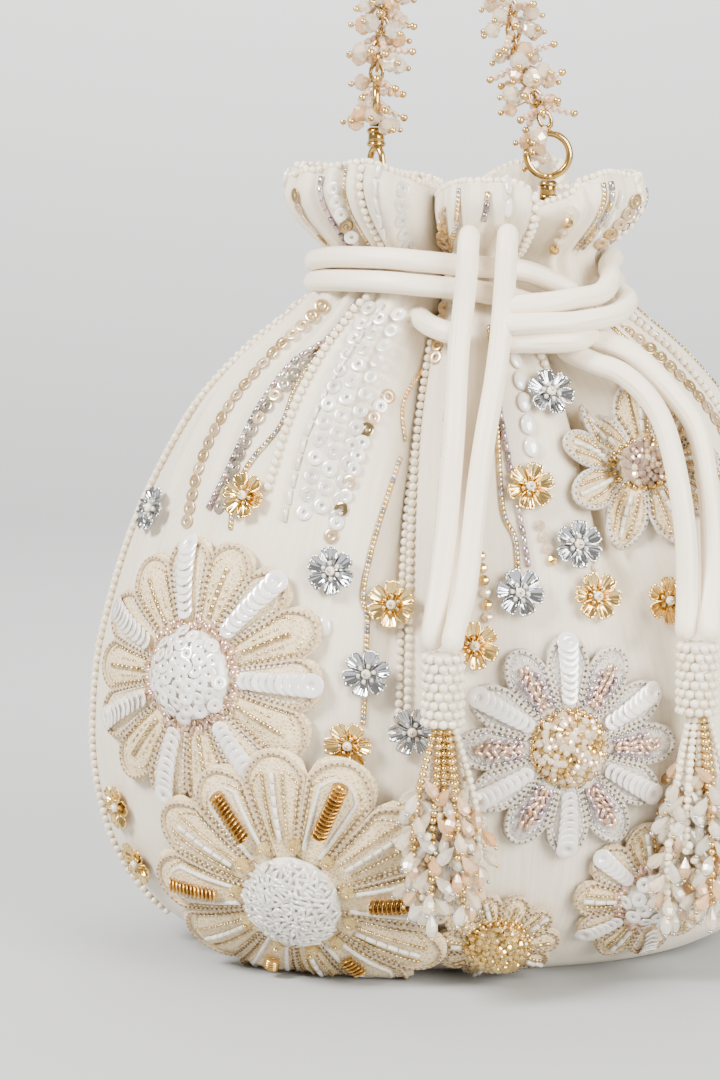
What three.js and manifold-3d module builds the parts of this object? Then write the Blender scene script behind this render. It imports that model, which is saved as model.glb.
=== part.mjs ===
// A potli bag: a gathered silk pouch with a ruffled mouth, a fabric drawstring with two tassels, sewn-on
// embroidered flowers and metal blossoms, and an arched handle of crystal drops on two swivel hooks.
// Millimetres, +Z up, the bag's front faces -Y. The origin is the middle of the flat base.

import * as THREE from 'three';
import { mergeVertices } from 'three/addons/utils/BufferGeometryUtils.js';
import Module from 'manifold-3d';

const wasm = await Module();
wasm.setup();

// Driving sizes of the pouch
const BASE_WIDE = 122;
const BASE_DEEP = 72;
const BELLY_WIDE = 206;
const BELLY_DEEP = 136;
const BELLY_HEIGHT = 64;
const NECK_WIDE = 80;
const NECK_DEEP = 68;
const NECK_HEIGHT = 190;
const RIM_WIDE = 104;
const RIM_DEEP = 90;
const RUFFLE_HEIGHT = 29;
const PLEAT_DEPTH = 13;
const CLOTH = 1.5;
const SEAT_SIZE = 15;

// Sewn-on trim
const FLOWER_THICK = 2;
const FLOWER_LIFT = 0.95;
const FLOOR_GAP = 0.6;
const DOME_RISE = 5;
const BLOSSOM_SIZE = 12.5;
const BLOSSOM_THICK = 1.2;
const BLOSSOM_PEARL = 2.8;
const SEWN_GAP = 0.3;

// Drawstring and tassels
const CORD = 5.8;
const CORD_GAP = 0.75;
const HEAD_WIDE = 12.4;
const HEAD_TALL = 19;
const FRINGE_LONG = 58;
const FRINGE_SPREAD = 9;
const LOCK_WIDE = 5.6;
const FRINGE_LOCKS = 5;
const BACKING_WIDE = 10.4;
const BACKING_TALL = 2.8;
const LOCK_SUNK = 0.8;

// Handle and its hardware
const HOOK_REACH = 23.6;
const RING_WIDE = 13.7;
const RING_WIRE = 1.6;
const EYE_WIDE = 6.6;
const EYE_WIRE = 1.3;
const BARREL_WIDE = 5.4;
const BARREL_TALL = 5.5;
const COLLAR_WIDE = 3.9;
const HOOK_TALL = 14;
const HOOK_WIDE = 7.4;
const HOOK_WIRE = 1.9;
const LOOP_WIRE = 1.8;
const LOOP_WIDE = 9;
const STRING_WIDE = 8.5;
const STRING_STEP = 10.2;
const CRYSTAL = 9;
const CRYSTAL_PITCH = 9.4;
const CRYSTAL_OFF = 3.6;
const METAL_GAP = 0.3;
const LOOP_GAP = 0.45;

function table(names, rows) {
  return rows.map((row) => Object.fromEntries(names.map((name, i) => [name, row[i]])));
}

// Sections of the pouch from the base up. rise is a share of the span's height, swell the share of the way from
// the span's narrow end to its wide one, fold the share of the full pleat depth.
const SECTIONS = table(['span', 'rise', 'swell', 'fold'], [
  ['lower', 0, 0, 0],
  ['lower', 0.05, 0.22, 0],
  ['lower', 0.16, 0.51, 0],
  ['lower', 0.31, 0.72, 0],
  ['lower', 0.5, 0.87, 0],
  ['lower', 0.75, 0.965, 0],
  ['upper', 0, 1, 0.06],
  ['upper', 0.15, 0.985, 0.15],
  ['upper', 0.29, 0.92, 0.3],
  ['upper', 0.43, 0.825, 0.52],
  ['upper', 0.57, 0.7, 0.76],
  ['upper', 0.7, 0.555, 0.93],
  ['upper', 0.81, 0.36, 1],
  ['upper', 0.89, 0.17, 1],
  ['upper', 0.955, 0.04, 1],
  ['upper', 1, 0, 1],
  ['ruffle', 0.16, 0.04, 1],
  ['ruffle', 0.33, 0.38, 1],
  ['ruffle', 0.54, 0.78, 0.98],
  ['ruffle', 0.78, 1, 0.92],
  ['ruffle', 1, 0.9, 0.85],
]);

// Pleats, in degrees round from the front towards +X. drift is how far a pleat leans by the belly, left and right
// are its half widths, depth and dip shares of the pleat depth and of the rim's height in it, and crest and lean
// shape the rim of the lobe that follows it.
const PLEATS = table(['at', 'drift', 'left', 'right', 'depth', 'dip', 'crest', 'lean'], [
  [-95, 0, 8, 9, 1, 0.72, 0.86, 0.38],
  [-17, 5, 5.5, 9, 1.15, 0.74, 0.78, 0],
  [31, -5, 7, 7, 1.05, 0.55, 0.84, -0.1],
  [80, 0, 8, 8, 0.92, 0.7, 0.82, 0.1],
  [128, 2, 7, 9, 1, 0.74, 0.93, -0.1],
  [176, -2, 8, 7, 1, 0.7, 0.8, 0.1],
  [224, 1, 8, 8, 1, 0.72, 0.9, 0],
]);
const LOBE_COLUMNS = [0, 0.07, 0.16, 0.3, 0.5, 0.7, 0.84, 0.93];
const DIP_WIDTH = 9;
const CREST_BLEND = 5;
const INNER_SECTIONS = [0, 2, 5, 8, 10, 12, 14, 15, 16, 17, 18, 20];

// Flowers: at and height (share of the neck's) of the middle, radius of the petals, petals, notch (share of the
// radius between two petals), bead dome radius and rise (share of DOME_RISE), and rings across the petals.
const FLOWERS = table(['at', 'height', 'radius', 'petals', 'notch', 'dome', 'rise', 'rings', 'color', 'bead'], [
  [-46, 0.437, 35.5, 14, 0.86, 12, 1.1, 2, 0xe9dcc8, 0xf3eef4],
  [-27, 0.135, 34, 12, 0.84, 12.5, 1.1, 3, 0xe6d6ba, 0xf6f4f2],
  [14.5, 0.353, 29, 12, 0.66, 9, 0.9, 2, 0xd9d2cc, 0xd8bd84],
  [34.5, 0.732, 23.5, 9, 0.7, 6, 0.6, 2, 0xe3d8c8, 0xa98d86],
  [5.5, 0.074, 16.5, 10, 0.8, 8, 1, 3, 0xd9c08a, 0xd0a650],
  [30.5, 0.135, 21.5, 10, 0.78, 8, 0.9, 3, 0xeee6dc, 0xf1ece6],
  [84, 0.42, 36, 14, 0.86, 11, 1, 3, 0xe9dcc8, 0xf3eef4],
  [146, 0.45, 37, 12, 0.72, 10, 1, 2, 0xd9d2cc, 0xd8bd84],
  [206, 0.33, 38, 14, 0.86, 12, 1.1, 2, 0xe6d6ba, 0xf6f4f2],
]);
const PETAL_COLUMNS = [0, 0.98, 0.98];
const DOME_SIDES = 9;

// Pressed blossoms: at and height (share of the neck's) of the middle, and the metal.
const BLOSSOMS = table(['at', 'height', 'metal'], [
  [-42, 0.684, 'gold'],
  [-12, 0.547, 'gold'],
  [-17.5, 0.353, 'gold'],
  [1, 0.492, 'gold'],
  [11, 0.705, 'gold'],
  [20.5, 0.556, 'gold'],
  [33, 0.545, 'gold'],
  [-68, 0.226, 'gold'],
  [-67, 0.145, 'gold'],
  [-3, 0.2, 'gold'],
  [-69, 0.652, 'silver'],
  [-22, 0.589, 'silver'],
  [-15, 0.452, 'silver'],
  [8, 0.563, 'silver'],
  [18.3, 0.626, 'silver'],
  [-8, 0.374, 'silver'],
  [18, 0.83, 'silver'],
  [112, 0.68, 'gold'],
  [178, 0.62, 'silver'],
]);
const BLOSSOM_PETALS = 5;
const BLOSSOM_NOTCH = 0.72;

// Drawstring strands that lie on the gathers: at, height (share of the neck's) of the strand's middle, and layer,
// where 0 lies on the crests, 1 over another strand and a negative one down in a pleat.
const STRANDS = {
  cord_wrap_upper: [[222.5, 0.997, -1.1], [236, 1.008, 0], [265, 1.011, 0], [305, 1.011, 0], [329, 1.013, 0],
    [344, 1.009, 0], [360, 1.003, 0], [380, 0.996, 0], [391, 0.979, 0], [398, 0.96, 0]],
  cord_wrap_lower: [[222.5, 0.961, -1.1], [236, 0.974, 0], [265, 0.978, 0], [305, 0.978, 0], [329, 0.98, 0],
    [344, 0.976, 0], [360, 0.97, 0], [373, 0.96, 0], [383, 0.945, 0]],
  cord_cross_upper: [[14, 0.955, 1.1], [21, 0.954, 1.1], [29, 0.959, 1.1], [39, 0.965, 1], [52, 0.985, 0.6],
    [66, 1.003, 0], [95, 1.011, 0], [130, 1.011, 0], [163, 1.008, 0], [176, 0.997, -1.1]],
  cord_cross_lower: [[14, 0.928, 0.9], [20, 0.927, 0.9], [25, 0.927, 0.9], [31, 0.93, 0.9], [40, 0.936, 0.8],
    [52, 0.952, 0.5], [66, 0.969, 0], [95, 0.978, 0], [130, 0.978, 0], [163, 0.975, 0], [176, 0.963, -1.1]],
  cord_loop_end: [[13, 0.901, 0], [16, 0.901, 0], [19, 0.902, 0], [22.5, 0.906, -0.5]],
  cord_bridge: [[-20, 0.938, -1], [-15.5, 0.93, -0.6], [-11, 0.923, -0.2], [-7.5, 0.917, 0]],
};
const STRAND_PITCH = 12;

// Hanging tails of the drawstring, each strand from the gathers down to its tassel, in points chosen by hand.
const TAILS = {
  cord_tail_left_a: [[0.9, -41.2, 200.4], [0.3, -45.8, 196], [-0.2, -47, 188], [-1, -47.6, 180],
    [-2.2, -50.2, 170], [-2.9, -54, 160], [-3.6, -58.6, 148], [-4.8, -62.8, 134], [-6, -67, 121],
    [-7.8, -71.4, 108], [-9.4, -76.3, 98.2], [-9.4, -76.4, 93.8]],
  cord_tail_left_b: [[10.9, -41.2, 200.8], [10.5, -45.8, 196.4], [10, -47.1, 188], [9.4, -47.8, 180],
    [8.4, -50.4, 170], [6.9, -54.2, 160], [4.6, -58.8, 148], [2.4, -63.2, 134], [0.9, -67.6, 121],
    [-1, -73, 108], [-4.2, -80.9, 98.2], [-4.2, -81, 93.8]],
  cord_tail_right_a: [[25.5, -36.3, 168.8], [29, -41.3, 167.2], [34, -43.6, 165.2], [40.9, -46.2, 162.6],
    [47.7, -48.8, 156.3], [52, -52.4, 148], [55, -57.4, 134.5], [56.8, -60.2, 120], [57, -62.5, 106.5],
    [56.6, -65, 98.5], [56.6, -65.2, 94.8]],
  cord_tail_right_b: [[32.2, -38.2, 171.4], [38.5, -40.8, 170.2], [46.5, -41.6, 165.5], [55.4, -43.4, 156],
    [60.9, -46.2, 147.3], [63.2, -51.5, 133.6], [63.9, -56, 119.8], [63.6, -61.5, 106.2], [62.6, -67.6, 98.5],
    [62.6, -68, 94.8]],
};
const TAIL_STEPS = 11;

// The handle's chain from the left eye up over the arch to the right eye, as x, y and z of points above the rings.
const HANDLE_ROUTE = [[-22.4, 0, 251], [-21, -0.4, 266], [-19, -1, 292], [-17.6, -1, 318], [-16.4, -0.4, 342],
  [-12.6, 0, 360], [-5.8, 0, 368], [1.2, 0, 361], [5.2, 0.6, 343], [7, 1, 318], [9.4, 0.6, 292],
  [12.4, 0, 264], [15.4, 0, 246]];
// Each hook hangs beside a pleat: the height of its ring's middle over the neck, as a share of the ruffle's, and
// in degrees the ring's turn and the place on it where the handle links in.
const HOOKS = table(['side', 'pleat', 'rise', 'turn', 'link'], [
  ['left', 0, 1.517, 90, 90],
  ['right', 3, 1.021, 0, 118],
]);

const SILK = { color: 0xf1ebe2, roughness: 0.55, metalness: 0 };
const CORD_SILK = { color: 0xf4efe8, roughness: 0.6, metalness: 0 };
const GOLD = { color: 0xc9a35c, roughness: 0.3, metalness: 1 };
const METALS = {
  gold: { color: 0xd8b876, roughness: 0.28, metalness: 1 },
  silver: { color: 0xc8ccd2, roughness: 0.22, metalness: 1 },
};

const bag = new THREE.Group();

function add(name, geometry, look) {
  const mesh = new THREE.Mesh(geometry, new THREE.MeshStandardMaterial(look));
  mesh.name = name;
  bag.add(mesh);
}

// Skins between rings of points

function outward(points, faces) {
  let volume = 0;
  for (const [a, b, c] of faces) {
    volume += points[a].dot(new THREE.Vector3().crossVectors(points[b], points[c]));
  }
  const turned = volume < 0 ? faces.map(([a, b, c]) => [a, c, b]) : faces;
  const geometry = new THREE.BufferGeometry();
  geometry.setAttribute('position', new THREE.Float32BufferAttribute(points.flatMap((p) => p.toArray()), 3));
  geometry.setIndex(turned.flat());
  return geometry;
}

// Joins rings of equal length one after the other. A ring of one point closes an end as a fan, and ends closes
// the others: a function that returns the faces of a cap over a ring that starts at an index.
function skin(rings, ends = []) {
  const points = rings.flat();
  const faces = [];
  let start = 0;
  for (let r = 0; r + 1 < rings.length; r += 1) {
    const count = Math.max(rings[r].length, rings[r + 1].length);
    const next = start + rings[r].length;
    for (let i = 0; i < count; i += 1) {
      const j = (i + 1) % count;
      if (rings[r].length === 1) {
        faces.push([start, next + j, next + i]);
      } else if (rings[r + 1].length === 1) {
        faces.push([start + i, start + j, next]);
      } else {
        faces.push([start + i, start + j, next + j], [start + i, next + j, next + i]);
      }
    }
    start = next;
  }
  for (const cap of ends) {
    faces.push(...cap(points));
  }
  return outward(points, faces);
}

function solidOf(geometry) {
  const bare = geometry.clone();
  bare.deleteAttribute('normal');
  bare.deleteAttribute('uv');
  const merged = mergeVertices(bare, 1e-5);
  return new wasm.Manifold(new wasm.Mesh({
    numProp: 3,
    vertProperties: merged.attributes.position.array,
    triVerts: new Uint32Array(merged.index.array),
  }));
}

function joined(geometries) {
  const whole = geometries.map(solidOf).reduce((sum, solid) => sum.add(solid));
  const mesh = whole.getMesh();
  const geometry = new THREE.BufferGeometry();
  geometry.setAttribute('position', new THREE.Float32BufferAttribute(mesh.vertProperties, 3));
  geometry.setIndex(Array.from(mesh.triVerts));
  return geometry;
}

function ringIn(frame, wide, sides, tall = wide) {
  return Array.from({ length: sides }, (_, i) => {
    const turn = (2 * Math.PI * i) / sides;
    const local = new THREE.Vector3((wide / 2) * Math.cos(turn), (tall / 2) * Math.sin(turn), 0);
    return local.applyMatrix4(frame);
  });
}

// The pouch's surface

function sectionValues({ span, rise, swell, fold }) {
  const spans = {
    lower: [0, BELLY_HEIGHT, BASE_WIDE, BELLY_WIDE, BASE_DEEP, BELLY_DEEP],
    upper: [BELLY_HEIGHT, NECK_HEIGHT, NECK_WIDE, BELLY_WIDE, NECK_DEEP, BELLY_DEEP],
    ruffle: [NECK_HEIGHT, NECK_HEIGHT + RUFFLE_HEIGHT, NECK_WIDE, RIM_WIDE, NECK_DEEP, RIM_DEEP],
  };
  const [low, high, wideA, wideB, deepA, deepB] = spans[span];
  return [
    THREE.MathUtils.lerp(low, high, rise),
    THREE.MathUtils.lerp(wideA, wideB, swell) / 2,
    THREE.MathUtils.lerp(deepA, deepB, swell) / 2,
    fold * PLEAT_DEPTH,
    span === 'ruffle' ? rise : 0,
  ];
}

const VALUES = SECTIONS.map(sectionValues);
const RIM_LEVEL = VALUES.length - 1;

// A smooth curve through the sections at a level, which counts sections from the base up.
function sectionAt(level) {
  const clamped = THREE.MathUtils.clamp(level, 0, RIM_LEVEL);
  const i = Math.min(Math.floor(clamped), RIM_LEVEL - 1);
  const f = clamped - i;
  const near = [Math.max(i - 1, 0), i, i + 1, Math.min(i + 2, RIM_LEVEL)].map((k) => VALUES[k]);
  return VALUES[0].map((_, column) => {
    const [p, q, r, s] = near.map((values) => values[column]);
    return 0.5 * (2 * q + (r - p) * f + (2 * p - 5 * q + 4 * r - s) * f * f + (3 * q - p - 3 * r + s) * f ** 3);
  });
}

// The level between two others at which a height that grows with it is reached.
function levelWhere(height, heightAt, from = 0, to = RIM_LEVEL) {
  let low = from;
  let high = to;
  for (let i = 0; i < 40; i += 1) {
    const middle = (low + high) / 2;
    if (heightAt(middle) < height) low = middle;
    else high = middle;
  }
  return low;
}

function levelAt(height) {
  return levelWhere(height, (level) => sectionAt(level)[0]);
}

function degreesFrom(at, centre) {
  return THREE.MathUtils.euclideanModulo(at - centre + 180, 360) - 180;
}

function pleatAt(at, height) {
  const gather = THREE.MathUtils.clamp((NECK_HEIGHT - height) / (NECK_HEIGHT - BELLY_HEIGHT), 0, 1);
  return PLEATS.reduce((sum, pleat) => {
    const away = degreesFrom(at, pleat.at + pleat.drift * gather);
    return sum + pleat.depth * Math.exp(-((away / (away < 0 ? pleat.left : pleat.right)) ** 2));
  }, 0);
}

function lobeCrest(lobe, at) {
  const next = PLEATS[(lobe + 1) % PLEATS.length];
  const wide = THREE.MathUtils.euclideanModulo(next.at - PLEATS[lobe].at, 360);
  const along = degreesFrom(at, PLEATS[lobe].at + wide / 2) / wide;
  return PLEATS[lobe].crest * (1 + PLEATS[lobe].lean * along);
}

// Share of the ruffle's height that the rim reaches.
function rimShare(at) {
  const away = PLEATS.map((pleat) => degreesFrom(at, pleat.at));
  const lobe = away.reduce((best, a, i) => (THREE.MathUtils.euclideanModulo(a, 360)
    < THREE.MathUtils.euclideanModulo(away[best], 360) ? i : best), 0);
  const next = (lobe + 1) % PLEATS.length;
  const before = (lobe + PLEATS.length - 1) % PLEATS.length;
  let crest = lobeCrest(lobe, at);
  if (away[lobe] < CREST_BLEND) {
    crest = THREE.MathUtils.lerp(lobeCrest(before, at), crest, 0.5 + away[lobe] / CREST_BLEND / 2);
  } else if (-away[next] < CREST_BLEND) {
    crest = THREE.MathUtils.lerp(crest, lobeCrest(next, at), 0.5 + away[next] / CREST_BLEND / 2);
  }
  const dips = PLEATS.map((pleat, i) => 1 - (1 - pleat.dip) * Math.exp(-((away[i] / DIP_WIDTH) ** 2)));
  return crest * Math.min(...dips);
}

function pouchPoint(at, level, folded = true) {
  const [height, wide, deep, fold, ruffle] = sectionAt(level);
  const turn = THREE.MathUtils.degToRad(at);
  const point = new THREE.Vector3(wide * Math.sin(turn), -deep * Math.cos(turn), height);
  if (folded) {
    const reach = Math.hypot(point.x, point.y);
    const kept = 1 - (fold * pleatAt(at, height)) / reach;
    point.x *= kept;
    point.y *= kept;
    point.z += RUFFLE_HEIGHT * ruffle * (rimShare(at) - 1);
  }
  return point;
}

// Small steps, in degrees and levels for a slope and in millimetres for a walk over the pouch.
const STEP = 0.01;
const WALK_STEP = 1;

function slopes(at, level, folded) {
  const here = Math.min(level, RIM_LEVEL - STEP);
  const point = pouchPoint(at, here, folded);
  const across = pouchPoint(at + STEP, here, folded).sub(point).divideScalar(STEP);
  const along = pouchPoint(at, here + STEP, folded).sub(point).divideScalar(STEP);
  return { across, along, normal: new THREE.Vector3().crossVectors(across, along).normalize() };
}

function pouchPointOff(at, level, off, folded = true) {
  return pouchPoint(at, level, folded).addScaledVector(slopes(at, level, folded).normal, off);
}

// The pouch

function pouchColumns() {
  return PLEATS.flatMap((pleat, i) => {
    const wide = THREE.MathUtils.euclideanModulo(PLEATS[(i + 1) % PLEATS.length].at - pleat.at, 360);
    return LOBE_COLUMNS.map((share) => pleat.at + wide * share);
  });
}

function pouchGeometry() {
  const columns = pouchColumns();
  const outer = VALUES.map((_, level) => columns.map((at) => pouchPoint(at, level)));
  const inner = INNER_SECTIONS.toReversed().map((level) => columns.map((at) => {
    const point = pouchPointOff(at, level, -CLOTH);
    point.z = level === RIM_LEVEL ? pouchPoint(at, level).z : Math.max(point.z, CLOTH);
    return point;
  }));
  const count = columns.length;
  const turns = [90, 210, 330].map((turn) => THREE.MathUtils.degToRad(turn));
  const seat = turns.map((turn) => new THREE.Vector3(SEAT_SIZE * Math.cos(turn), SEAT_SIZE * Math.sin(turn), 0));
  // The base is a cap with a triangle round the origin, so that the middle of the base lies inside one face.
  const base = (points) => {
    const contour = points.slice(0, count).map((p) => new THREE.Vector2(p.x, p.y));
    const hole = seat.map((p) => new THREE.Vector2(p.x, p.y));
    const first = points.length;
    points.push(...seat);
    const numbers = [...Array(count).keys(), first, first + 1, first + 2];
    const faces = THREE.ShapeUtils.triangulateShape(contour, [hole]);
    return [...faces, [count, count + 1, count + 2]].map((face) => face.map((i) => numbers[i]).toReversed());
  };
  const floor = [new THREE.Vector3(0, 0, CLOTH)];
  return skin([...outer, ...inner, floor], [base]);
}

// Flowers that drape over the pouch

// Walks from a point of the smooth pouch in a direction and returns the level and angle at each distance.
function walk(at, level, turn, distances) {
  const spot = { at, level };
  let { across, along } = slopes(at, level, false);
  const heading = across.clone().normalize().multiplyScalar(Math.cos(turn));
  heading.addScaledVector(along.clone().normalize(), Math.sin(turn));
  const stops = [];
  let gone = 0;
  for (const distance of distances) {
    while (gone < distance && spot.level > 0) {
      const step = Math.min(WALK_STEP, distance - gone);
      ({ across, along } = slopes(spot.at, spot.level, false));
      const [aa, ab, bb] = [across.dot(across), across.dot(along), along.dot(along)];
      const [ha, hb] = [heading.dot(across), heading.dot(along)];
      const scale = step / (aa * bb - ab * ab);
      const moved = [(ha * bb - hb * ab) * scale, (hb * aa - ha * ab) * scale];
      heading.copy(across).multiplyScalar(moved[0]).addScaledVector(along, moved[1]).normalize();
      spot.at += moved[0];
      spot.level += moved[1];
      gone += step;
    }
    stops.push({ at: spot.at, level: Math.max(spot.level, 0) });
  }
  return stops;
}

function petalSkin({ at, height, radius, petals, notch, rings }) {
  const level = levelAt(height * NECK_HEIGHT);
  const columns = petals * PETAL_COLUMNS.length;
  const shares = Array.from({ length: rings }, (_, i) => (i + 1) / rings);
  const stops = Array.from({ length: columns }, (_, i) => {
    const reach = radius * Math.max(PETAL_COLUMNS[i % PETAL_COLUMNS.length], notch);
    return walk(at, level, (2 * Math.PI * i) / columns, shares.map((share) => share * reach));
  });
  const layer = (off) => shares.map((_, k) => stops.map((stop) => {
    const point = pouchPointOff(stop[k].at, stop[k].level, off, false);
    point.z = Math.max(point.z, FLOOR_GAP + off - FLOWER_LIFT);
    return point;
  }));
  const middle = (off) => [[pouchPointOff(at, level, off, false)]];
  const under = layer(FLOWER_LIFT);
  const over = layer(FLOWER_LIFT + FLOWER_THICK);
  return skin([...middle(FLOWER_LIFT), ...under, ...over.toReversed(), ...middle(FLOWER_LIFT + FLOWER_THICK)]);
}

// A frame whose Z stands off the pouch and whose Y runs up it.
function frameOn(at, level, off) {
  const { across, normal } = slopes(at, level, false);
  const up = new THREE.Vector3().crossVectors(normal, across).normalize();
  const side = new THREE.Vector3().crossVectors(up, normal);
  const frame = new THREE.Matrix4().makeBasis(side, up, normal);
  return frame.setPosition(pouchPointOff(at, level, off, false));
}

function domeGeometry(radius, rise, sides) {
  const profile = [[1, 0], [0.8, 0.66], [0, 1]];
  const points = [new THREE.Vector2(0, 0), ...profile.map(([r, h]) => new THREE.Vector2(r * radius, h * rise))];
  return new THREE.LatheGeometry(points, sides).rotateX(Math.PI / 2);
}

function addFlowers() {
  FLOWERS.forEach((flower, i) => {
    const look = { roughness: 0.6, metalness: 0.1 };
    add(`flower_${i + 1}`, petalSkin(flower), { color: flower.color, ...look });
    const level = levelAt(flower.height * NECK_HEIGHT);
    const dome = domeGeometry(flower.dome, DOME_RISE * flower.rise, DOME_SIDES);
    dome.applyMatrix4(frameOn(flower.at, level, FLOWER_LIFT + FLOWER_THICK + SEWN_GAP));
    add(`flower_beads_${i + 1}`, dome, { color: flower.bead, ...look });
  });
}

// Pressed blossoms

function blossomGeometry() {
  const columns = BLOSSOM_PETALS * 2;
  const rim = (height) => Array.from({ length: columns }, (_, i) => {
    const turn = (2 * Math.PI * i) / columns;
    const reach = (BLOSSOM_SIZE / 2) * (i % 2 ? 1 : BLOSSOM_NOTCH);
    return new THREE.Vector3(reach * Math.cos(turn), reach * Math.sin(turn), height);
  });
  return skin([[new THREE.Vector3()], rim(0), rim(BLOSSOM_THICK), [new THREE.Vector3(0, 0, BLOSSOM_PEARL)]]);
}

// The highest that the pouch stands under a blossom, above the tangent plane at its middle.
function supportUnder(frame, at, level) {
  const down = frame.clone().invert();
  const turns = Array.from({ length: BLOSSOM_PETALS * 2 }, (_, i) => (Math.PI * i) / BLOSSOM_PETALS);
  const reaches = [BLOSSOM_SIZE / 4, BLOSSOM_SIZE / 2];
  const spots = turns.flatMap((turn) => walk(at, level, turn, reaches));
  const heights = [{ at, level }, ...spots].map((spot) => pouchPoint(spot.at, spot.level).applyMatrix4(down).z);
  return Math.max(...heights);
}

function addBlossoms() {
  BLOSSOMS.forEach((blossom, i) => {
    const level = levelAt(blossom.height * NECK_HEIGHT);
    const frame = frameOn(blossom.at, level, 0);
    const lift = supportUnder(frame, blossom.at, level) + SEWN_GAP;
    const geometry = blossomGeometry().translate(0, 0, lift).applyMatrix4(frame);
    add(`blossom_${i + 1}`, geometry, METALS[blossom.metal]);
  });
}

// Drawstring

function roundSection(wide, sides) {
  const turns = Array.from({ length: sides }, (_, i) => (2 * Math.PI * i) / sides);
  return new THREE.Shape(turns.map((t) => new THREE.Vector2((wide / 2) * Math.cos(t), (wide / 2) * Math.sin(t))));
}

function tube(points, wide, sides, steps) {
  const extrudePath = new THREE.CatmullRomCurve3(points, false, 'centripetal');
  return new THREE.ExtrudeGeometry(roundSection(wide, sides), { steps, bevelEnabled: false, extrudePath });
}

// The point of a strand's middle at a height, off the gathers by its layer.
function strandPoint(at, height, layer) {
  const off = CORD / 2 + CORD_GAP + layer * (CORD + CORD_GAP);
  const spot = (level) => pouchPointOff(at, level, off, false);
  const bounds = [levelAt(height - 2 * CORD), levelAt(height + 2 * CORD)];
  return spot(levelWhere(height, (level) => spot(level).z, ...bounds));
}

// A strand follows the gathers between its rows, so the rows are run through before they are put on the pouch.
function strandPoints(rows) {
  const run = new THREE.CatmullRomCurve3(rows.map(([at, height, layer]) => new THREE.Vector3(at, height, layer)));
  return run.getPoints(rows.length * 4).map((row) => strandPoint(row.x, row.y * NECK_HEIGHT, row.z));
}

function addDrawstring() {
  for (const [name, rows] of Object.entries(STRANDS)) {
    const points = strandPoints(rows);
    const length = new THREE.CatmullRomCurve3(points).getLength();
    add(name, tube(points, CORD, 8, Math.ceil(length / STRAND_PITCH) + 1), CORD_SILK);
  }
  for (const [name, route] of Object.entries(TAILS)) {
    add(name, tube(route.map((p) => new THREE.Vector3(...p)), CORD, 8, TAIL_STEPS), CORD_SILK);
  }
}

// Tassels

function headGeometry() {
  const profile = [[0, 0], [0.84, 0], [1, 0.08], [1, 0.92], [0.84, 1], [0, 1]];
  const points = profile.map(([r, h]) => new THREE.Vector2((r * HEAD_WIDE) / 2, -h * HEAD_TALL));
  return new THREE.LatheGeometry(points.toReversed(), 10).rotateX(Math.PI / 2);
}

// A lock of the fringe hangs from the backing and swells before it tapers.
function lockGeometry(turn, spread, length, swell) {
  const profile = table(['fall', 'out', 'wide'], [
    [0, 0.32, 0.55], [0.3, 0.62, 0.85], [0.7, 0.95, 1], [1, 0.9, 0.45],
  ]);
  const rings = profile.map(({ fall, out, wide }) => {
    const frame = new THREE.Matrix4().makeTranslation(
      spread * out * Math.cos(turn),
      spread * out * Math.sin(turn),
      -fall * length,
    );
    return ringIn(frame, LOCK_WIDE * wide * swell, 5);
  });
  const ends = [rings[0], rings.at(-1)].map((ring) => {
    const middle = ring.reduce((sum, p) => sum.add(p), new THREE.Vector3());
    return [middle.divideScalar(ring.length)];
  });
  return skin([ends[0], ...rings, ends[1]]);
}

function fringeGeometry() {
  const backing = new THREE.CylinderGeometry(BACKING_WIDE / 2, BACKING_WIDE / 2, BACKING_TALL, 8);
  backing.rotateX(Math.PI / 2).translate(0, 0, -BACKING_TALL / 2);
  const locks = Array.from({ length: FRINGE_LOCKS }, (_, i) => {
    const turn = THREE.MathUtils.degToRad(18 + (360 * i) / FRINGE_LOCKS);
    return lockGeometry(turn, FRINGE_SPREAD, FRINGE_LONG * (i % 2 ? 1 : 0.9), 1);
  });
  const core = lockGeometry(0, 0, FRINGE_LONG * 0.95, 1.25);
  return joined([backing, ...[core, ...locks].map((lock) => lock.translate(0, 0, -LOCK_SUNK))]);
}

function addTassel(side) {
  const ends = [`cord_tail_${side}_a`, `cord_tail_${side}_b`].map((name) => new THREE.Vector3(...TAILS[name].at(-1)));
  const top = ends[0].clone().add(ends[1]).divideScalar(2);
  top.z -= METAL_GAP;
  add(`tassel_head_${side}`, headGeometry().translate(...top), { color: 0xf3e9dc, roughness: 0.35, metalness: 0 });
  top.z -= HEAD_TALL + METAL_GAP;
  const look = { color: 0xe2c79a, roughness: 0.3, metalness: 0.1 };
  add(`tassel_fringe_${side}`, fringeGeometry().translate(...top), look);
}

// Handle and hooks

class Oval extends THREE.Curve {
  constructor(wide, tall) {
    super();
    this.wide = wide;
    this.tall = tall;
  }

  getPoint(share, point = new THREE.Vector3()) {
    const turn = 2 * Math.PI * share;
    return point.set((this.wide / 2) * Math.cos(turn), (this.tall / 2) * Math.sin(turn), 0);
  }
}

// A closed wire loop, wide and tall over its outside.
function wireLoop(wide, tall, wire, segments) {
  return new THREE.TubeGeometry(new Oval(wide - wire, tall - wire), segments, wire / 2, 5, true);
}

// The inner ridge of a pleat at a height, or at the rim where the rim lies lower.
function ridgeAt(pleat, height) {
  const { at } = PLEATS[pleat];
  return pouchPointOff(at, levelWhere(height, (level) => pouchPoint(at, level).z), -CLOTH);
}

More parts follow.
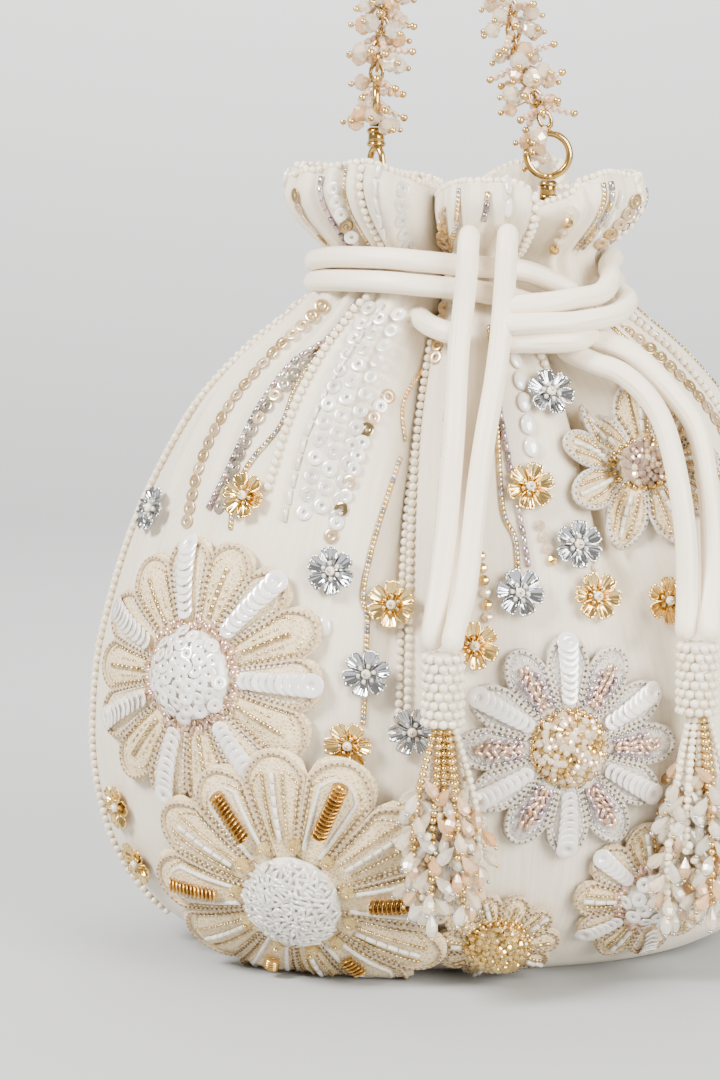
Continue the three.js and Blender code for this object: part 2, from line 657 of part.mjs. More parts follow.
// Where a hook hangs: beside the inner ridge of its pleat, on the line from the bag's middle to it.
function hookPlace({ pleat, rise }) {
  const ringMiddle = NECK_HEIGHT + rise * RUFFLE_HEIGHT;
  const ringBottom = ringMiddle - RING_WIDE / 2;
  const barrelTop = ringBottom - METAL_GAP;
  const hookTop = barrelTop - BARREL_TALL + HOOK_WIRE / 2;
  const hold = hookTop - HOOK_TALL + HOOK_WIRE / 2;
  const outwards = ridgeAt(pleat, hold).setZ(0).normalize();
  const middle = outwards.clone().multiplyScalar(HOOK_REACH);
  return { ringMiddle, ringBottom, barrelTop, hookTop, hold, outwards, middle };
}

function ringFrame(hook) {
  const { middle, ringMiddle } = hookPlace(hook);
  const frame = new THREE.Matrix4().makeRotationZ(THREE.MathUtils.degToRad(hook.turn));
  frame.multiply(new THREE.Matrix4().makeRotationX(Math.PI / 2));
  return frame.setPosition(middle.x, middle.y, ringMiddle);
}

function swivelRing(hook) {
  const hoop = wireLoop(RING_WIDE, RING_WIDE, RING_WIRE, 14).applyMatrix4(ringFrame(hook));
  const { middle, ringBottom } = hookPlace(hook);
  const collar = new THREE.CylinderGeometry(COLLAR_WIDE / 2, COLLAR_WIDE / 2, RING_WIRE, 7);
  collar.rotateX(Math.PI / 2).translate(middle.x, middle.y, ringBottom + RING_WIRE / 2);
  return joined([hoop, collar]);
}

function snapHook(hook) {
  const { middle, barrelTop, hookTop, outwards } = hookPlace(hook);
  const profile = [[0, 0], [0.7, 0], [1, 0.15], [1, 0.8], [0.6, 1], [0, 1]];
  const points = profile.map(([r, h]) => new THREE.Vector2((r * BARREL_WIDE) / 2, (h - 1) * BARREL_TALL));
  const barrel = new THREE.LatheGeometry(points, 8).rotateX(Math.PI / 2);
  barrel.translate(middle.x, middle.y, barrelTop);
  // The hook's oval stands across the line to the pleat, so that the cloth loop can reach out to the pleat.
  const oval = wireLoop(HOOK_WIDE, HOOK_TALL, HOOK_WIRE, 12).rotateX(Math.PI / 2);
  oval.rotateZ(Math.atan2(outwards.y, outwards.x) + Math.PI / 2);
  oval.translate(middle.x, middle.y, hookTop - HOOK_TALL / 2);
  return joined([barrel, oval]);
}

// A cloth loop from the hook's wire out to the pleat, as wide as the ridge beside it leaves room for.
function hookLoop(hook) {
  const { hold, outwards } = hookPlace(hook);
  const near = HOOK_REACH - HOOK_WIRE / 2 - 2 * LOOP_GAP - LOOP_WIRE;
  const rooms = [-0.8, -0.6, -0.4, -0.2, 0, 0.2].map((share) => {
    const ridge = ridgeAt(hook.pleat, hold + (share * LOOP_WIDE) / 2);
    return (Math.hypot(ridge.x, ridge.y) - LOOP_GAP - near) / (1 + Math.sqrt(1 - share ** 2));
  });
  const half = Math.min(...rooms);
  const loop = wireLoop(2 * half, LOOP_WIDE, LOOP_WIRE, 12).rotateX(Math.PI / 2);
  loop.rotateZ(Math.atan2(outwards.y, outwards.x));
  const middle = outwards.clone().multiplyScalar(near + half);
  return loop.translate(middle.x, middle.y, hold);
}

// The handle's end eye passes through the swivel ring, across the ring's wire.
function eyeFrame(hook) {
  const link = THREE.MathUtils.degToRad(hook.link);
  const inside = RING_WIDE / 2 - RING_WIRE - METAL_GAP;
  const reach = inside - EYE_WIRE / 2 + (EYE_WIDE - EYE_WIRE) / 2;
  const frame = ringFrame(hook);
  frame.multiply(new THREE.Matrix4().makeRotationZ(link));
  frame.multiply(new THREE.Matrix4().makeTranslation(reach, 0, 0));
  return frame.multiply(new THREE.Matrix4().makeRotationX(Math.PI / 2));
}

function handleGeometry() {
  const frames = HOOKS.map(eyeFrame);
  const eyes = frames.map((frame) => wireLoop(EYE_WIDE, EYE_WIDE, EYE_WIRE, 9).applyMatrix4(frame));
  const neck = (EYE_WIDE - EYE_WIRE) / 2;
  const [first, last] = frames.map((frame) => new THREE.Vector3(neck, 0, 0).applyMatrix4(frame));
  const route = [first, ...HANDLE_ROUTE.map((p) => new THREE.Vector3(...p)), last];
  const curve = new THREE.CatmullRomCurve3(route, false, 'centripetal');
  const length = curve.getLength();
  const string = tube(route, STRING_WIDE, 6, Math.round(length / STRING_STEP));
  const count = Math.floor(length / CRYSTAL_PITCH) - 1;
  const golden = Math.PI * (3 - Math.sqrt(5));
  const crystals = Array.from({ length: count }, (_, i) => {
    const share = (i + 1) / (count + 1);
    const along = curve.getTangentAt(share);
    const side = new THREE.Vector3(0, 1, 0).cross(along).normalize();
    const front = along.clone().cross(side);
    const off = side.multiplyScalar(Math.cos(i * golden)).addScaledVector(front, Math.sin(i * golden));
    const place = curve.getPointAt(share).addScaledVector(off, CRYSTAL_OFF);
    return new THREE.OctahedronGeometry(CRYSTAL / 2).rotateX(i).rotateZ(i * 0.7).translate(...place);
  });
  return joined([string, ...eyes, ...crystals]);
}

function addHandle() {
  for (const hook of HOOKS) {
    add(`swivel_ring_${hook.side}`, swivelRing(hook), GOLD);
    add(`snap_hook_${hook.side}`, snapHook(hook), GOLD);
    add(`hook_loop_${hook.side}`, hookLoop(hook), CORD_SILK);
  }
  add('handle', handleGeometry(), { color: 0xe9c4b0, roughness: 0.2, metalness: 0.1 });
}

add('bag', pouchGeometry(), SILK);
addFlowers();
addBlossoms();
addDrawstring();
addTassel('left');
addTassel('right');
addHandle();

export default bag;
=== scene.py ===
import math

import bmesh
import bpy
import numpy as np
from mathutils import Matrix, Vector


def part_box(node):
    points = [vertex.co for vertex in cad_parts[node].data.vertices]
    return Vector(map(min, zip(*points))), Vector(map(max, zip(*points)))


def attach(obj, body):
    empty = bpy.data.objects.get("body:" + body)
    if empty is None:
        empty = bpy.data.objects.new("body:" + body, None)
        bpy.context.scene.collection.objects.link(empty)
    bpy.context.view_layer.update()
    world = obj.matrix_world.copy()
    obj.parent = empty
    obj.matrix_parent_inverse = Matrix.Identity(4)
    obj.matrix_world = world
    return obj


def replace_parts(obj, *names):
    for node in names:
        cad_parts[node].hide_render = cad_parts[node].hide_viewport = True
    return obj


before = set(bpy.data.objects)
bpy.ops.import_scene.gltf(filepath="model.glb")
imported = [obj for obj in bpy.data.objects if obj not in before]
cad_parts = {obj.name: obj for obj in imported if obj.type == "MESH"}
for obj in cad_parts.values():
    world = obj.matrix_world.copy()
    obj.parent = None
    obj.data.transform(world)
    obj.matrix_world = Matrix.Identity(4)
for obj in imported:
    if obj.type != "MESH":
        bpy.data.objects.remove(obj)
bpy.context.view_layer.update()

bl_info = {
    "name": "Potli bag",
    "version": (1, 0, 0),
    "blender": (4, 5, 0),
    "location": "View3D > Sidebar > Potli bag",
    "description": "Builds a gathered silk pouch with sewn flowers, a drawstring and a beaded handle",
    "category": "Object",
}

MM = 0.001
SEED = 11
FLOOR_GAP = 0.1 * MM
UP = np.array([0, 0, 1.0])
DOWN = -UP
BACK = np.array([0, 1.0, 0])
FRONT = -BACK
GOLDEN = math.pi * (3 - math.sqrt(5))


def table(names, rows):
    return [dict(zip(names.split(), row)) for row in rows]


def mm(*sizes):
    return tuple(size * MM for size in sizes)


# Sections of the pouch from the base up, and its pleats, in shares and degrees, as in the part's source. The
# two pleats in front are narrower on one side and 5 % deeper. Over is how far an edge laps its pleat.
SECTIONS = table("span rise swell fold", [
    ("lower", 0, 0, 0), ("lower", 0.05, 0.22, 0), ("lower", 0.16, 0.51, 0), ("lower", 0.31, 0.72, 0),
    ("lower", 0.5, 0.87, 0), ("lower", 0.75, 0.965, 0), ("upper", 0, 1, 0.06), ("upper", 0.15, 0.985, 0.15),
    ("upper", 0.29, 0.92, 0.3), ("upper", 0.43, 0.825, 0.52), ("upper", 0.57, 0.7, 0.76),
    ("upper", 0.7, 0.555, 0.93), ("upper", 0.81, 0.36, 1), ("upper", 0.89, 0.17, 1),
    ("upper", 0.955, 0.04, 1), ("upper", 1, 0, 1), ("ruffle", 0.16, 0.04, 1),
    ("ruffle", 0.33, 0.38, 1), ("ruffle", 0.54, 0.78, 0.98), ("ruffle", 0.78, 1, 0.92),
    ("ruffle", 1, 0.9, 0.85),
])
PLEATS = table("at drift left right depth dip crest lean over", [
    (-95, 0, 8, 9, 1, 0.72, 0.86, 0.38, 1.5), (-17, 5, 3.8, 9, 1.2, 0.74, 0.78, 0, 4.6),
    (31, -5, 7, 5, 1.1, 0.55, 0.84, -0.1, -3.6), (80, 0, 8, 8, 0.92, 0.7, 0.82, 0.1, 2),
    (128, 2, 7, 9, 1, 0.74, 0.93, -0.1, -2), (176, -2, 8, 7, 1, 0.7, 0.8, 0.1, 2),
    (224, 1, 8, 8, 1, 0.72, 0.9, 0, -2),
])
# The sharp fold in the middle of each pleat: its depth as a share of the pleat's, its half width in degrees,
# and where the edge laps over it. The inside's pleats are wider, by this many degrees for a metre of wall.
FOLD_DEPTH = 0.55
FOLD_WIDE = 2.3
LAP_OFF = 2.2
LAP_WIDE = 2.4
INSIDE_SPREAD = 1800
DIP_WIDTH = 9
CREST_BLEND = 5
# The fine gathers, and the height and depth of the slack in the cloth over the belly.
GATHERS = 58
SLACK_HEIGHT = 0.105
SLACK_TALL = 0.045
SLACK_DEPTH = 1.6 * MM


def length_prop(name, text, value):
    return bpy.props.FloatProperty(name=name, description=text, default=value, unit="LENGTH")


def color_prop(name, text, value):
    return bpy.props.FloatVectorProperty(name=name, description=text, default=value, subtype="COLOR", size=3)


class PotliPouch(bpy.types.PropertyGroup):
    """Sizes and colours of the silk pouch"""
    base_wide: length_prop("Base width", "Width of the flat base", 0.122)
    base_deep: length_prop("Base depth", "Depth of the flat base", 0.072)
    belly_wide: length_prop("Belly width", "Width at the widest height", 0.206)
    belly_deep: length_prop("Belly depth", "Depth at the widest height", 0.136)
    belly_height: length_prop("Belly height", "Height of the widest part", 0.064)
    neck_wide: length_prop("Neck width", "Width across the gathers of the neck", 0.08)
    neck_deep: length_prop("Neck depth", "Depth across the gathers of the neck", 0.068)
    neck_height: length_prop("Neck height", "Height of the drawn-in neck", 0.19)
    rim_wide: length_prop("Rim width", "Width of the ruffled mouth", 0.104)
    rim_deep: length_prop("Rim depth", "Depth of the ruffled mouth", 0.09)
    ruffle_height: length_prop("Ruffle height", "Full height of the ruffle", 0.029)
    pleat_depth: length_prop("Pleat depth", "Depth of the large pleats", 0.013)
    cloth: length_prop("Cloth", "Thickness of the cloth wall", 0.0015)
    silk: color_prop("Silk", "Colour of the silk", (0.86, 0.765, 0.615))


class PotliTrim(bpy.types.PropertyGroup):
    """Sizes and colours of the flowers and the metal trim"""
    blossom: length_prop("Blossom", "Width of a pressed blossom", 0.0125)
    net: color_prop("Net", "Colour of the flowers' net", (0.74, 0.58, 0.34))
    gold: color_prop("Gold", "Colour of the gold trim", (0.84, 0.6, 0.24))
    silver: color_prop("Silver", "Colour of the silver trim", (0.66, 0.67, 0.7))


class PotliCord(bpy.types.PropertyGroup):
    """Sizes and colours of the drawstring"""
    wide: length_prop("Cord", "Diameter of the fabric drawstring", 0.0058)
    gap: length_prop("Gap", "Gap between two strands", 0.00075)
    silk: color_prop("Cord silk", "Colour of the drawstring", (0.93, 0.82, 0.66))


class PotliHandle(bpy.types.PropertyGroup):
    """Sizes and colours of the beaded handle and its hooks"""
    reach: length_prop("Reach", "How far a drop stands off the chain", 0.009)
    pitch: length_prop("Pitch", "Length of one link of the chain", 0.0032)
    brass: color_prop("Hardware", "Colour of the hooks", (0.62, 0.42, 0.15))
    crystal: color_prop("Crystal", "Colour of the crystals", (1.0, 0.74, 0.48))


class PotliStage(bpy.types.PropertyGroup):
    """Camera, floor and light"""
    distance: length_prop("Distance", "Camera to the point it looks at", 0.95)
    raised: bpy.props.FloatProperty(name="Raised", description="Angle of the camera over the horizon",
                                    default=math.radians(7), unit="ROTATION")
    aim: bpy.props.FloatVectorProperty(name="Aim", description="Point in the middle of the view",
                                       default=(-0.028, 0, 0.113), subtype="XYZ", unit="LENGTH", size=3)
    lens: bpy.props.FloatProperty(name="Lens", description="Focal length in millimetres", default=114)
    floor: color_prop("Floor", "Colour of floor and backdrop", (0.81, 0.83, 0.845))


class Pouch:
    """The gathered cloth that every sewn piece lies on.

    Places count in degrees round from the front towards +X and in levels, which count the sections upwards.
    """

    def __init__(self, size):
        self.size = size
        spans = {
            "lower": (0, size.belly_height, size.base_wide, size.belly_wide, size.base_deep, size.belly_deep),
            "upper": (size.belly_height, size.neck_height, size.neck_wide, size.belly_wide, size.neck_deep,
                      size.belly_deep),
            "ruffle": (size.neck_height, size.neck_height + size.ruffle_height, size.neck_wide, size.rim_wide,
                       size.neck_deep, size.rim_deep),
        }
        rows = []
        for row in SECTIONS:
            low, high, wide_a, wide_b, deep_a, deep_b = spans[row["span"]]
            rows.append((
                low + (high - low) * row["rise"],
                (wide_a + (wide_b - wide_a) * row["swell"]) / 2,
                (deep_a + (deep_b - deep_a) * row["swell"]) / 2,
                row["fold"] * size.pleat_depth,
                row["rise"] if row["span"] == "ruffle" else 0,
            ))
        self.rows = np.array(rows)
        self.top = len(rows) - 1
        rng = np.random.default_rng(SEED)
        self.creases = np.stack([
            np.linspace(0, 360, GATHERS, endpoint=False) + rng.uniform(-3, 3, GATHERS),
            rng.uniform(1.3, 2.9, GATHERS),
            rng.uniform(1.4, 4.0, GATHERS) * MM,
            rng.uniform(0.07, 0.15, GATHERS),
            rng.uniform(-2.5, 2.5, GATHERS),
        ], axis=1)

    def section(self, level):
        level = np.clip(level, 0, self.top)
        i = np.minimum(level.astype(int), self.top - 1)
        f = (level - i)[..., None]
        return between(*(self.rows[np.clip(i + k, 0, self.top)] for k in (-1, 0, 1, 2)), f)

    def level_at(self, height):
        levels = np.linspace(0, self.top, 2000)
        return np.interp(height, self.section(levels)[:, 0], levels)

    def pleats(self, at, height, spread=0.0):
        """How deep the pleats are, and how far their edges are drawn over them."""
        neck = self.size.neck_height
        gather = np.clip((neck - height) / (neck - self.size.belly_height), 0, 1)
        deep, over = 0, 0
        for pleat in PLEATS:
            away = degrees_from(at, pleat["at"] + pleat["drift"] * gather)
            wide = np.where(away < 0, pleat["left"], pleat["right"]) + spread
            fold = FOLD_DEPTH * np.exp(-(away / (FOLD_WIDE + spread)) ** 2)
            deep = deep + pleat["depth"] * (np.exp(-(away / wide) ** 2) + fold)
            lap = (away + LAP_OFF * np.sign(pleat["over"])) / LAP_WIDE
            over = over + pleat["over"] * np.exp(-lap ** 2) * (spread == 0)
        return deep, over

    def creased(self, at, height):
        """How far the fine gathers draw the cloth in, which only ever goes inwards."""
        total = 0
        for centre, half, depth, foot, lean in self.creases:
            up = np.clip((height - foot) / (self.size.neck_height - foot), 0, 1)
            away = degrees_from(at, centre + lean * (1 - up))
            total = total + depth * up ** 1.2 * np.exp(-(away / (half * (1.6 - 0.6 * up))) ** 2)
        turn = np.radians(at)
        slack = 0.5 + 0.25 * np.sin(3 * turn + height * 62 + 1.2) + 0.25 * np.sin(5 * turn - height * 48)
        belly = np.exp(-((height - SLACK_HEIGHT) / SLACK_TALL) ** 2)
        return total + SLACK_DEPTH * slack * belly

    def rim_share(self, at):
        """Height of the rim, as a share of the ruffle's full height: lobes with a dip at every pleat."""
        away = np.stack([degrees_from(at, pleat["at"]) for pleat in PLEATS])
        ahead = np.mod(away, 360)
        lobe = np.argmin(ahead, axis=0)
        count = len(PLEATS)
        crests = []
        for i, pleat in enumerate(PLEATS):
            wide = (PLEATS[(i + 1) % count]["at"] - pleat["at"]) % 360
            along = degrees_from(at, pleat["at"] + wide / 2) / wide
            crests.append(pleat["crest"] * (1 + pleat["lean"] * along))
        crests = np.stack(crests)

        def taken(rows, shift=0):
            return np.take_along_axis(rows, (lobe[None] + shift) % count, 0)[0]

        own, before, after = taken(crests), taken(crests, -1), taken(crests, 1)
        past, to_go = taken(away), -taken(away, 1)
        started = before + (own - before) * (0.5 + past / CREST_BLEND / 2)
        ending = own + (after - own) * (0.5 + np.clip(-to_go, -CREST_BLEND, 0) / CREST_BLEND / 2)
        own = np.where((to_go > 0) & (to_go < CREST_BLEND), ending, own)
        own = np.where(past < CREST_BLEND, started, own)
        dips = [1 - (1 - pleat["dip"]) * np.exp(-(a / DIP_WIDTH) ** 2) for pleat, a in zip(PLEATS, away)]
        return own * np.min(dips, axis=0)

    def point(self, at, level, folded=True, inset=0.0):
        """A point of the cloth, or of its inside where it is inset."""
        at, level = np.broadcast_arrays(np.asarray(at, float), np.asarray(level, float))
        height, wide, deep, fold, ruffle = np.moveaxis(self.section(level), -1, 0)
        turn = np.radians(at)
        if folded:
            pleats, over = self.pleats(at, height, INSIDE_SPREAD * inset)
            turn = turn + np.radians(over * fold / self.size.pleat_depth)
        x, y = wide * np.sin(turn), -deep * np.cos(turn)
        if folded:
            reach = np.hypot(x, y) + 1e-9
            kept = 1 - (fold * pleats + self.creased(at, height) + inset) / reach
            x, y = x * kept, y * kept
            height = height + self.size.ruffle_height * ruffle * (self.rim_share(at) - 1)
        return np.stack([x, y, height], axis=-1)

    def slopes(self, at, level, folded=True):
        step = 0.01
        here = np.minimum(level, self.top - step)
        point = self.point(at, here, folded)
        across = (self.point(at + step, here, folded) - point) / step
        along = (self.point(at, here + step, folded) - point) / step
        return across, along, unit(np.cross(across, along))

    def off(self, at, level, off):
        """Points off the cloth as it would lie without its pleats."""
        return self.point(at, level, False) + self.slopes(at, level, False)[2] * off[..., None]


def degrees_from(at, centre):
    return np.mod(at - centre + 180, 360) - 180


def unit(vectors):
    return vectors / np.maximum(np.linalg.norm(vectors, axis=-1, keepdims=True), 1e-12)


def between(p, q, r, s, f):
    """A smooth curve from q to r at the share f, where p is the point before them and s the one after."""
    bent, twisted = 2 * p - 5 * q + 4 * r - s, 3 * q - p - 3 * r + s
    return 0.5 * (2 * q + (r - p) * f + bent * f ** 2 + twisted * f ** 3)


def distances(points):
    """How far along its line each point lies."""
    return np.concatenate([[0], np.cumsum(np.linalg.norm(np.diff(points, axis=0), axis=1))])


def node_box(name):
    """A node's lowest and highest corners, and its middle."""
    low, high = map(np.array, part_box(name))
    return low, high, (low + high) / 2


class Spots:
    """Places for small copies: where each lies, the way it points and the way it faces."""

    def __init__(self, place, along, out):
        self.place = np.asarray(place, float)
        self.out = unit(np.asarray(out, float))
        along = np.asarray(along, float)
        self.along = unit(along - self.out * np.sum(along * self.out, axis=-1, keepdims=True))

    @property
    def cross(self):
        return np.cross(self.out, self.along)

    def spread(self, amounts):
        return np.broadcast_to(np.asarray(amounts, float), len(self.place))[:, None]

    def leaned(self, first, second, degrees):
        """Turns one direction towards another."""
        turn = np.radians(self.spread(degrees))
        return first * np.cos(turn) + second * np.sin(turn)

    def moved(self, off=0.0, side=0.0, ahead=0.0):
        off, side, ahead = map(self.spread, (off, side, ahead))
        place = self.place + self.out * off + self.cross * side + self.along * ahead
        return Spots(place, self.along, self.out)

    def tilted(self, degrees):
        """Tips each copy up at its front."""
        along = self.leaned(self.along, self.out, degrees)
        return Spots(self.place, along, self.leaned(self.out, -self.along, degrees))

    def turned(self, degrees):
        """Turns each copy about the way it faces."""
        return Spots(self.place, self.leaned(self.along, self.cross, degrees), self.out)

    def rolled(self, degrees):
        """Rolls each copy about the way it points."""
        return Spots(self.place, self.along, self.leaned(self.out, self.cross, degrees))

    def kept(self, mask):
        return Spots(self.place[mask], self.along[mask], self.out[mask])


def spots_on_path(points, outs, pitch, start=0.5):
    """Spots at equal steps along a line of points, each with the way it faces."""
    points, outs = np.asarray(points, float), np.asarray(outs, float)
    gone = distances(points)
    stops = np.arange(pitch * start, gone[-1], pitch)
    if len(stops) == 0:
        stops = np.array([gone[-1] / 2])

    def at(values, distance):
        return np.stack([np.interp(distance, gone, values[:, k]) for k in range(3)], axis=1)

    before, after = np.maximum(stops - pitch * 0.3, 0), np.minimum(stops + pitch * 0.3, gone[-1])
    return Spots(at(points, stops), at(points, after) - at(points, before), at(outs, stops))


def smooth_path(rows, count):
    """A smooth curve through points, by the same rule as the part's source."""
    rows = np.asarray(rows, float)
    ends = np.concatenate([[2 * rows[0] - rows[1]], rows, [2 * rows[-1] - rows[-2]]])
    share = np.linspace(0, len(rows) - 1, count)
    i = np.minimum(share.astype(int), len(rows) - 2)
    f = (share - i)[:, None]
    return between(*(ends[i + k] for k in range(4)), f)


# Small shapes that are copied many times. Each is one unit long along X and faces along Z.


class Shape:
    def __init__(self, bm, smooth=True):
        bmesh.ops.recalc_face_normals(bm, faces=bm.faces)
        bm.verts.index_update()
        self.points = np.array([vert.co for vert in bm.verts])
        self.faces = [[vert.index for vert in face.verts] for face in bm.faces]
        self.smooth = smooth
        bm.free()


def ball_shape():
    bm = bmesh.new()
    bmesh.ops.create_icosphere(bm, subdivisions=2, radius=0.5)
    return Shape(bm)


def spun_shape(profile, steps, smooth=True, about_x=False):
    """Spins a profile of reach and height round Z, or round X where the shape is long."""
    bm = bmesh.new()
    verts = [bm.verts.new((reach, 0, height)) for reach, height in profile]
    edges = [bm.edges.new(pair) for pair in zip(verts, verts[1:])]
    bmesh.ops.spin(bm, geom=verts + edges, cent=(0, 0, 0), axis=(0, 0, 1), angle=math.tau, steps=steps,
                   use_merge=True)
    bmesh.ops.remove_doubles(bm, verts=bm.verts, dist=1e-5)
    if about_x:
        bmesh.ops.rotate(bm, verts=bm.verts, matrix=Matrix.Rotation(math.pi / 2, 3, "Y"))
    return Shape(bm, smooth)


def make_shapes():
    seed = [(0, -0.36), (0.36, -0.36), (0.5, -0.1), (0.5, 0.1), (0.36, 0.36), (0, 0.36)]
    cup = [(0.1, 0.0), (0.3, 0.03), (0.5, 0.15), (0.49, 0.19), (0.3, 0.08), (0.1, 0.05), (0.1, 0.0)]
    flat = [(0.13, 0.0), (0.3, 0.012), (0.47, 0.0), (0.5, 0.03), (0.46, 0.06), (0.3, 0.05), (0.13, 0.06),
            (0.13, 0.0)]
    disc = [(0.08 if reach < 0.2 else reach, height) for reach, height in flat]
    tube = [(0, -0.5), (0.4, -0.5), (0.5, -0.47), (0.5, 0.47), (0.4, 0.5), (0, 0.5)]
    stone = [(0, -0.5), (0.3, -0.42), (0.5, -0.1), (0.5, 0.1), (0.3, 0.42), (0, 0.5)]
    drop = [(0, 0.5), (0.12, 0.36), (0.34, 0.02), (0.36, -0.2), (0.24, -0.42), (0, -0.5)]
    link = [(0.5 + 0.16 * math.cos(a), 0.16 * math.sin(a)) for a in np.linspace(0, math.tau, 7)]
    return {
        "pearl": ball_shape(),
        "seed": spun_shape(seed, 8, about_x=True),
        "cup": spun_shape(cup, 10),
        "flat": spun_shape(flat, 14),
        "disc": spun_shape(disc, 14),
        "bugle": spun_shape(tube, 7, about_x=True),
        "stone": spun_shape(stone, 8, smooth=False, about_x=True),
        "drop": spun_shape(drop, 7, smooth=False, about_x=True),
        "link": spun_shape(link, 10),
    }


SHAPES = make_shapes()


class Trim:
    """Collects copies of small shapes and joins them into one mesh."""

    def __init__(self, name):
        self.name = name
        self.points, self.loops, self.totals = [], [], []
        self.slots, self.smooth, self.shades, self.finishes = [], [], [], []
        self.count = 0
        self.rng = np.random.default_rng(SEED + sum(map(ord, name)))

    def add(self, shape, spots, size, finish):
        """size is one size, or length, width and height, for all copies or one row for each."""
        shape = SHAPES[shape]
        copies = len(spots.place)
        if copies == 0:
            return
        if finish not in self.finishes:
            self.finishes.append(finish)
        size = np.broadcast_to(np.asarray(size, float), (copies, 3))
        axes = np.stack([spots.along, np.cross(spots.out, spots.along), spots.out], axis=2)
        local = shape.points[None] * size[:, None, :]
        world = np.einsum("nij,nvj->nvi", axes, local) + spots.place[:, None, :]
        each = len(shape.points)
        flat = np.concatenate([np.array(face) for face in shape.faces])
        starts = self.count + each * np.arange(copies)
        self.points.append(world.reshape(-1, 3))
        self.loops.append((starts[:, None] + flat[None]).ravel())
        self.totals.append(np.tile([len(face) for face in shape.faces], copies))
        self.slots.append(np.full(len(shape.faces) * copies, self.finishes.index(finish)))
        self.smooth.append(np.full(len(shape.faces) * copies, shape.smooth))
        self.shades.append(np.repeat(self.rng.uniform(0, 1, copies), each))
        self.count += each * copies

    def build(self, slot):
        mesh = bpy.data.meshes.new(self.name)
        points, loops, totals = map(np.concatenate, (self.points, self.loops, self.totals))
        points[:, 2] = np.maximum(points[:, 2], FLOOR_GAP)
        mesh.vertices.add(len(points))
        mesh.vertices.foreach_set("co", points.ravel())
        mesh.loops.add(len(loops))
        mesh.loops.foreach_set("vertex_index", loops)
        mesh.polygons.add(len(totals))
        mesh.polygons.foreach_set("loop_start", np.concatenate([[0], np.cumsum(totals)[:-1]]))
        mesh.polygons.foreach_set("loop_total", totals)
        mesh.polygons.foreach_set("material_index", np.concatenate(self.slots))
        mesh.polygons.foreach_set("use_smooth", np.concatenate(self.smooth))
        mesh.attributes.new("shade", "FLOAT", "POINT").data.foreach_set("value", np.concatenate(self.shades))
        mesh.update(calc_edges=True)
        mesh.validate()
        return placed(mesh, slot, *self.finishes)


def placed(mesh, slot, *finishes):
    """Makes an object of a mesh, gives it its finishes and lets it ride with the bag."""
    piece = bpy.data.objects.new(mesh.name, mesh)
    bpy.context.scene.collection.objects.link(piece)
    for finish in finishes:
        mesh.materials.append(material(finish))
    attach(piece, "root")
    return piece


def thicken(piece, thick):
    piece.modifiers.new("thickness", "SOLIDIFY").thickness = thick


def bent_grid(name, across, along, bend):
    """A grid bent into place by a function of two arrays of shares, across and along."""
    bm = bmesh.new()
    bm.loops.layers.uv.new("UVMap")
    bmesh.ops.create_grid(bm, x_segments=across, y_segments=along, size=0.5, calc_uvs=True)
    shares = np.array([vert.co[:2] for vert in bm.verts]) + 0.5
    for vert, place in zip(bm.verts, bend(shares[:, 0], shares[:, 1]).tolist()):
        vert.co = place
    bmesh.ops.remove_doubles(bm, verts=bm.verts, dist=1e-6)
    bmesh.ops.recalc_face_normals(bm, faces=bm.faces)
    mesh = bpy.data.meshes.new(name)
    bm.to_mesh(mesh)
    bm.free()
    mesh.shade_smooth()
    return mesh


def swept(name, points, wide, sides=10, closed=False):
    """A round tube along points, with round ends unless it is closed."""
    points = np.asarray(points, float)
    if not closed:
        gone = distances(points)
        inner = (gone > wide * 0.5) & (gone < gone[-1] - wide * 0.5)
        points = np.concatenate([points[:1], points[inner], points[-1:]])
    ahead = np.gradient(points, axis=0)
    if closed:
        ahead = np.roll(points, -1, axis=0) - np.roll(points, 1, axis=0)
    ahead = unit(ahead)
    side = np.zeros_like(points)
    side[0] = unit(np.cross(ahead[0], [0.31, 0.9, 0.27]))
    for i in range(1, len(points)):
        side[i] = unit(side[i - 1] - ahead[i] * np.dot(side[i - 1], ahead[i]))
    up = np.cross(ahead, side)
    radius = np.full(len(points), wide / 2)
    if not closed:
        turn = np.linspace(0, math.pi / 2, 5)[:-1]
        reach, back = np.sin(turn) * wide / 2, (1 - np.cos(turn)) * wide / 2
        points = np.concatenate([points[:1] + ahead[:1] * back[:, None], points[1:-1],
                                 points[-1:] - ahead[-1:] * back[::-1, None]])
        side, up = (np.concatenate([np.repeat(a[:1], 4, axis=0), a[1:-1], np.repeat(a[-1:], 4, axis=0)])
                    for a in (side, up))
        radius = np.concatenate([reach, radius[1:-1], reach[::-1]])
    last = len(points) if closed else len(points) - 1

    def bend(u, v):
        k = np.rint(v * last).astype(int) % len(points)
        turn = math.tau * u
        round_to = side[k] * np.cos(turn)[:, None] + up[k] * np.sin(turn)[:, None]
        return points[k] + round_to * radius[k][:, None]

    return bent_grid(name, sides, last, bend)


# Shader node groups and materials


def connect(tree, made, inputs):
    """Sets a node's inputs, each to a value or to the output of another node."""
    for key, value in dict(inputs).items():
        socket = made.inputs[key]
        if isinstance(value, bpy.types.NodeSocket):
            tree.links.new(value, socket)
        else:
            socket.default_value = value


def node(tree, kind, inputs=(), **settings):
    made = tree.nodes.new("ShaderNode" + kind)
    for key, value in settings.items():
        setattr(made, key, value)
    connect(tree, made, inputs)
    return made


def noise(tree, vector, scale, detail, **more):
    return node(tree, "TexNoise", {"Vector": vector, "Scale": scale, "Detail": detail, **more}).outputs["Fac"]


def mapped(tree, vector, scale):
    return node(tree, "Mapping", {"Vector": vector, "Scale": scale}).outputs[0]


def spread(tree, value, start, end, low=0.0, high=1.0):
    """Spreads the range from start to end over the one from low to high."""
    inputs = {"Value": value, "From Min": start, "From Max": end, "To Min": low, "To Max": high}
    return node(tree, "MapRange", inputs).outputs[0]


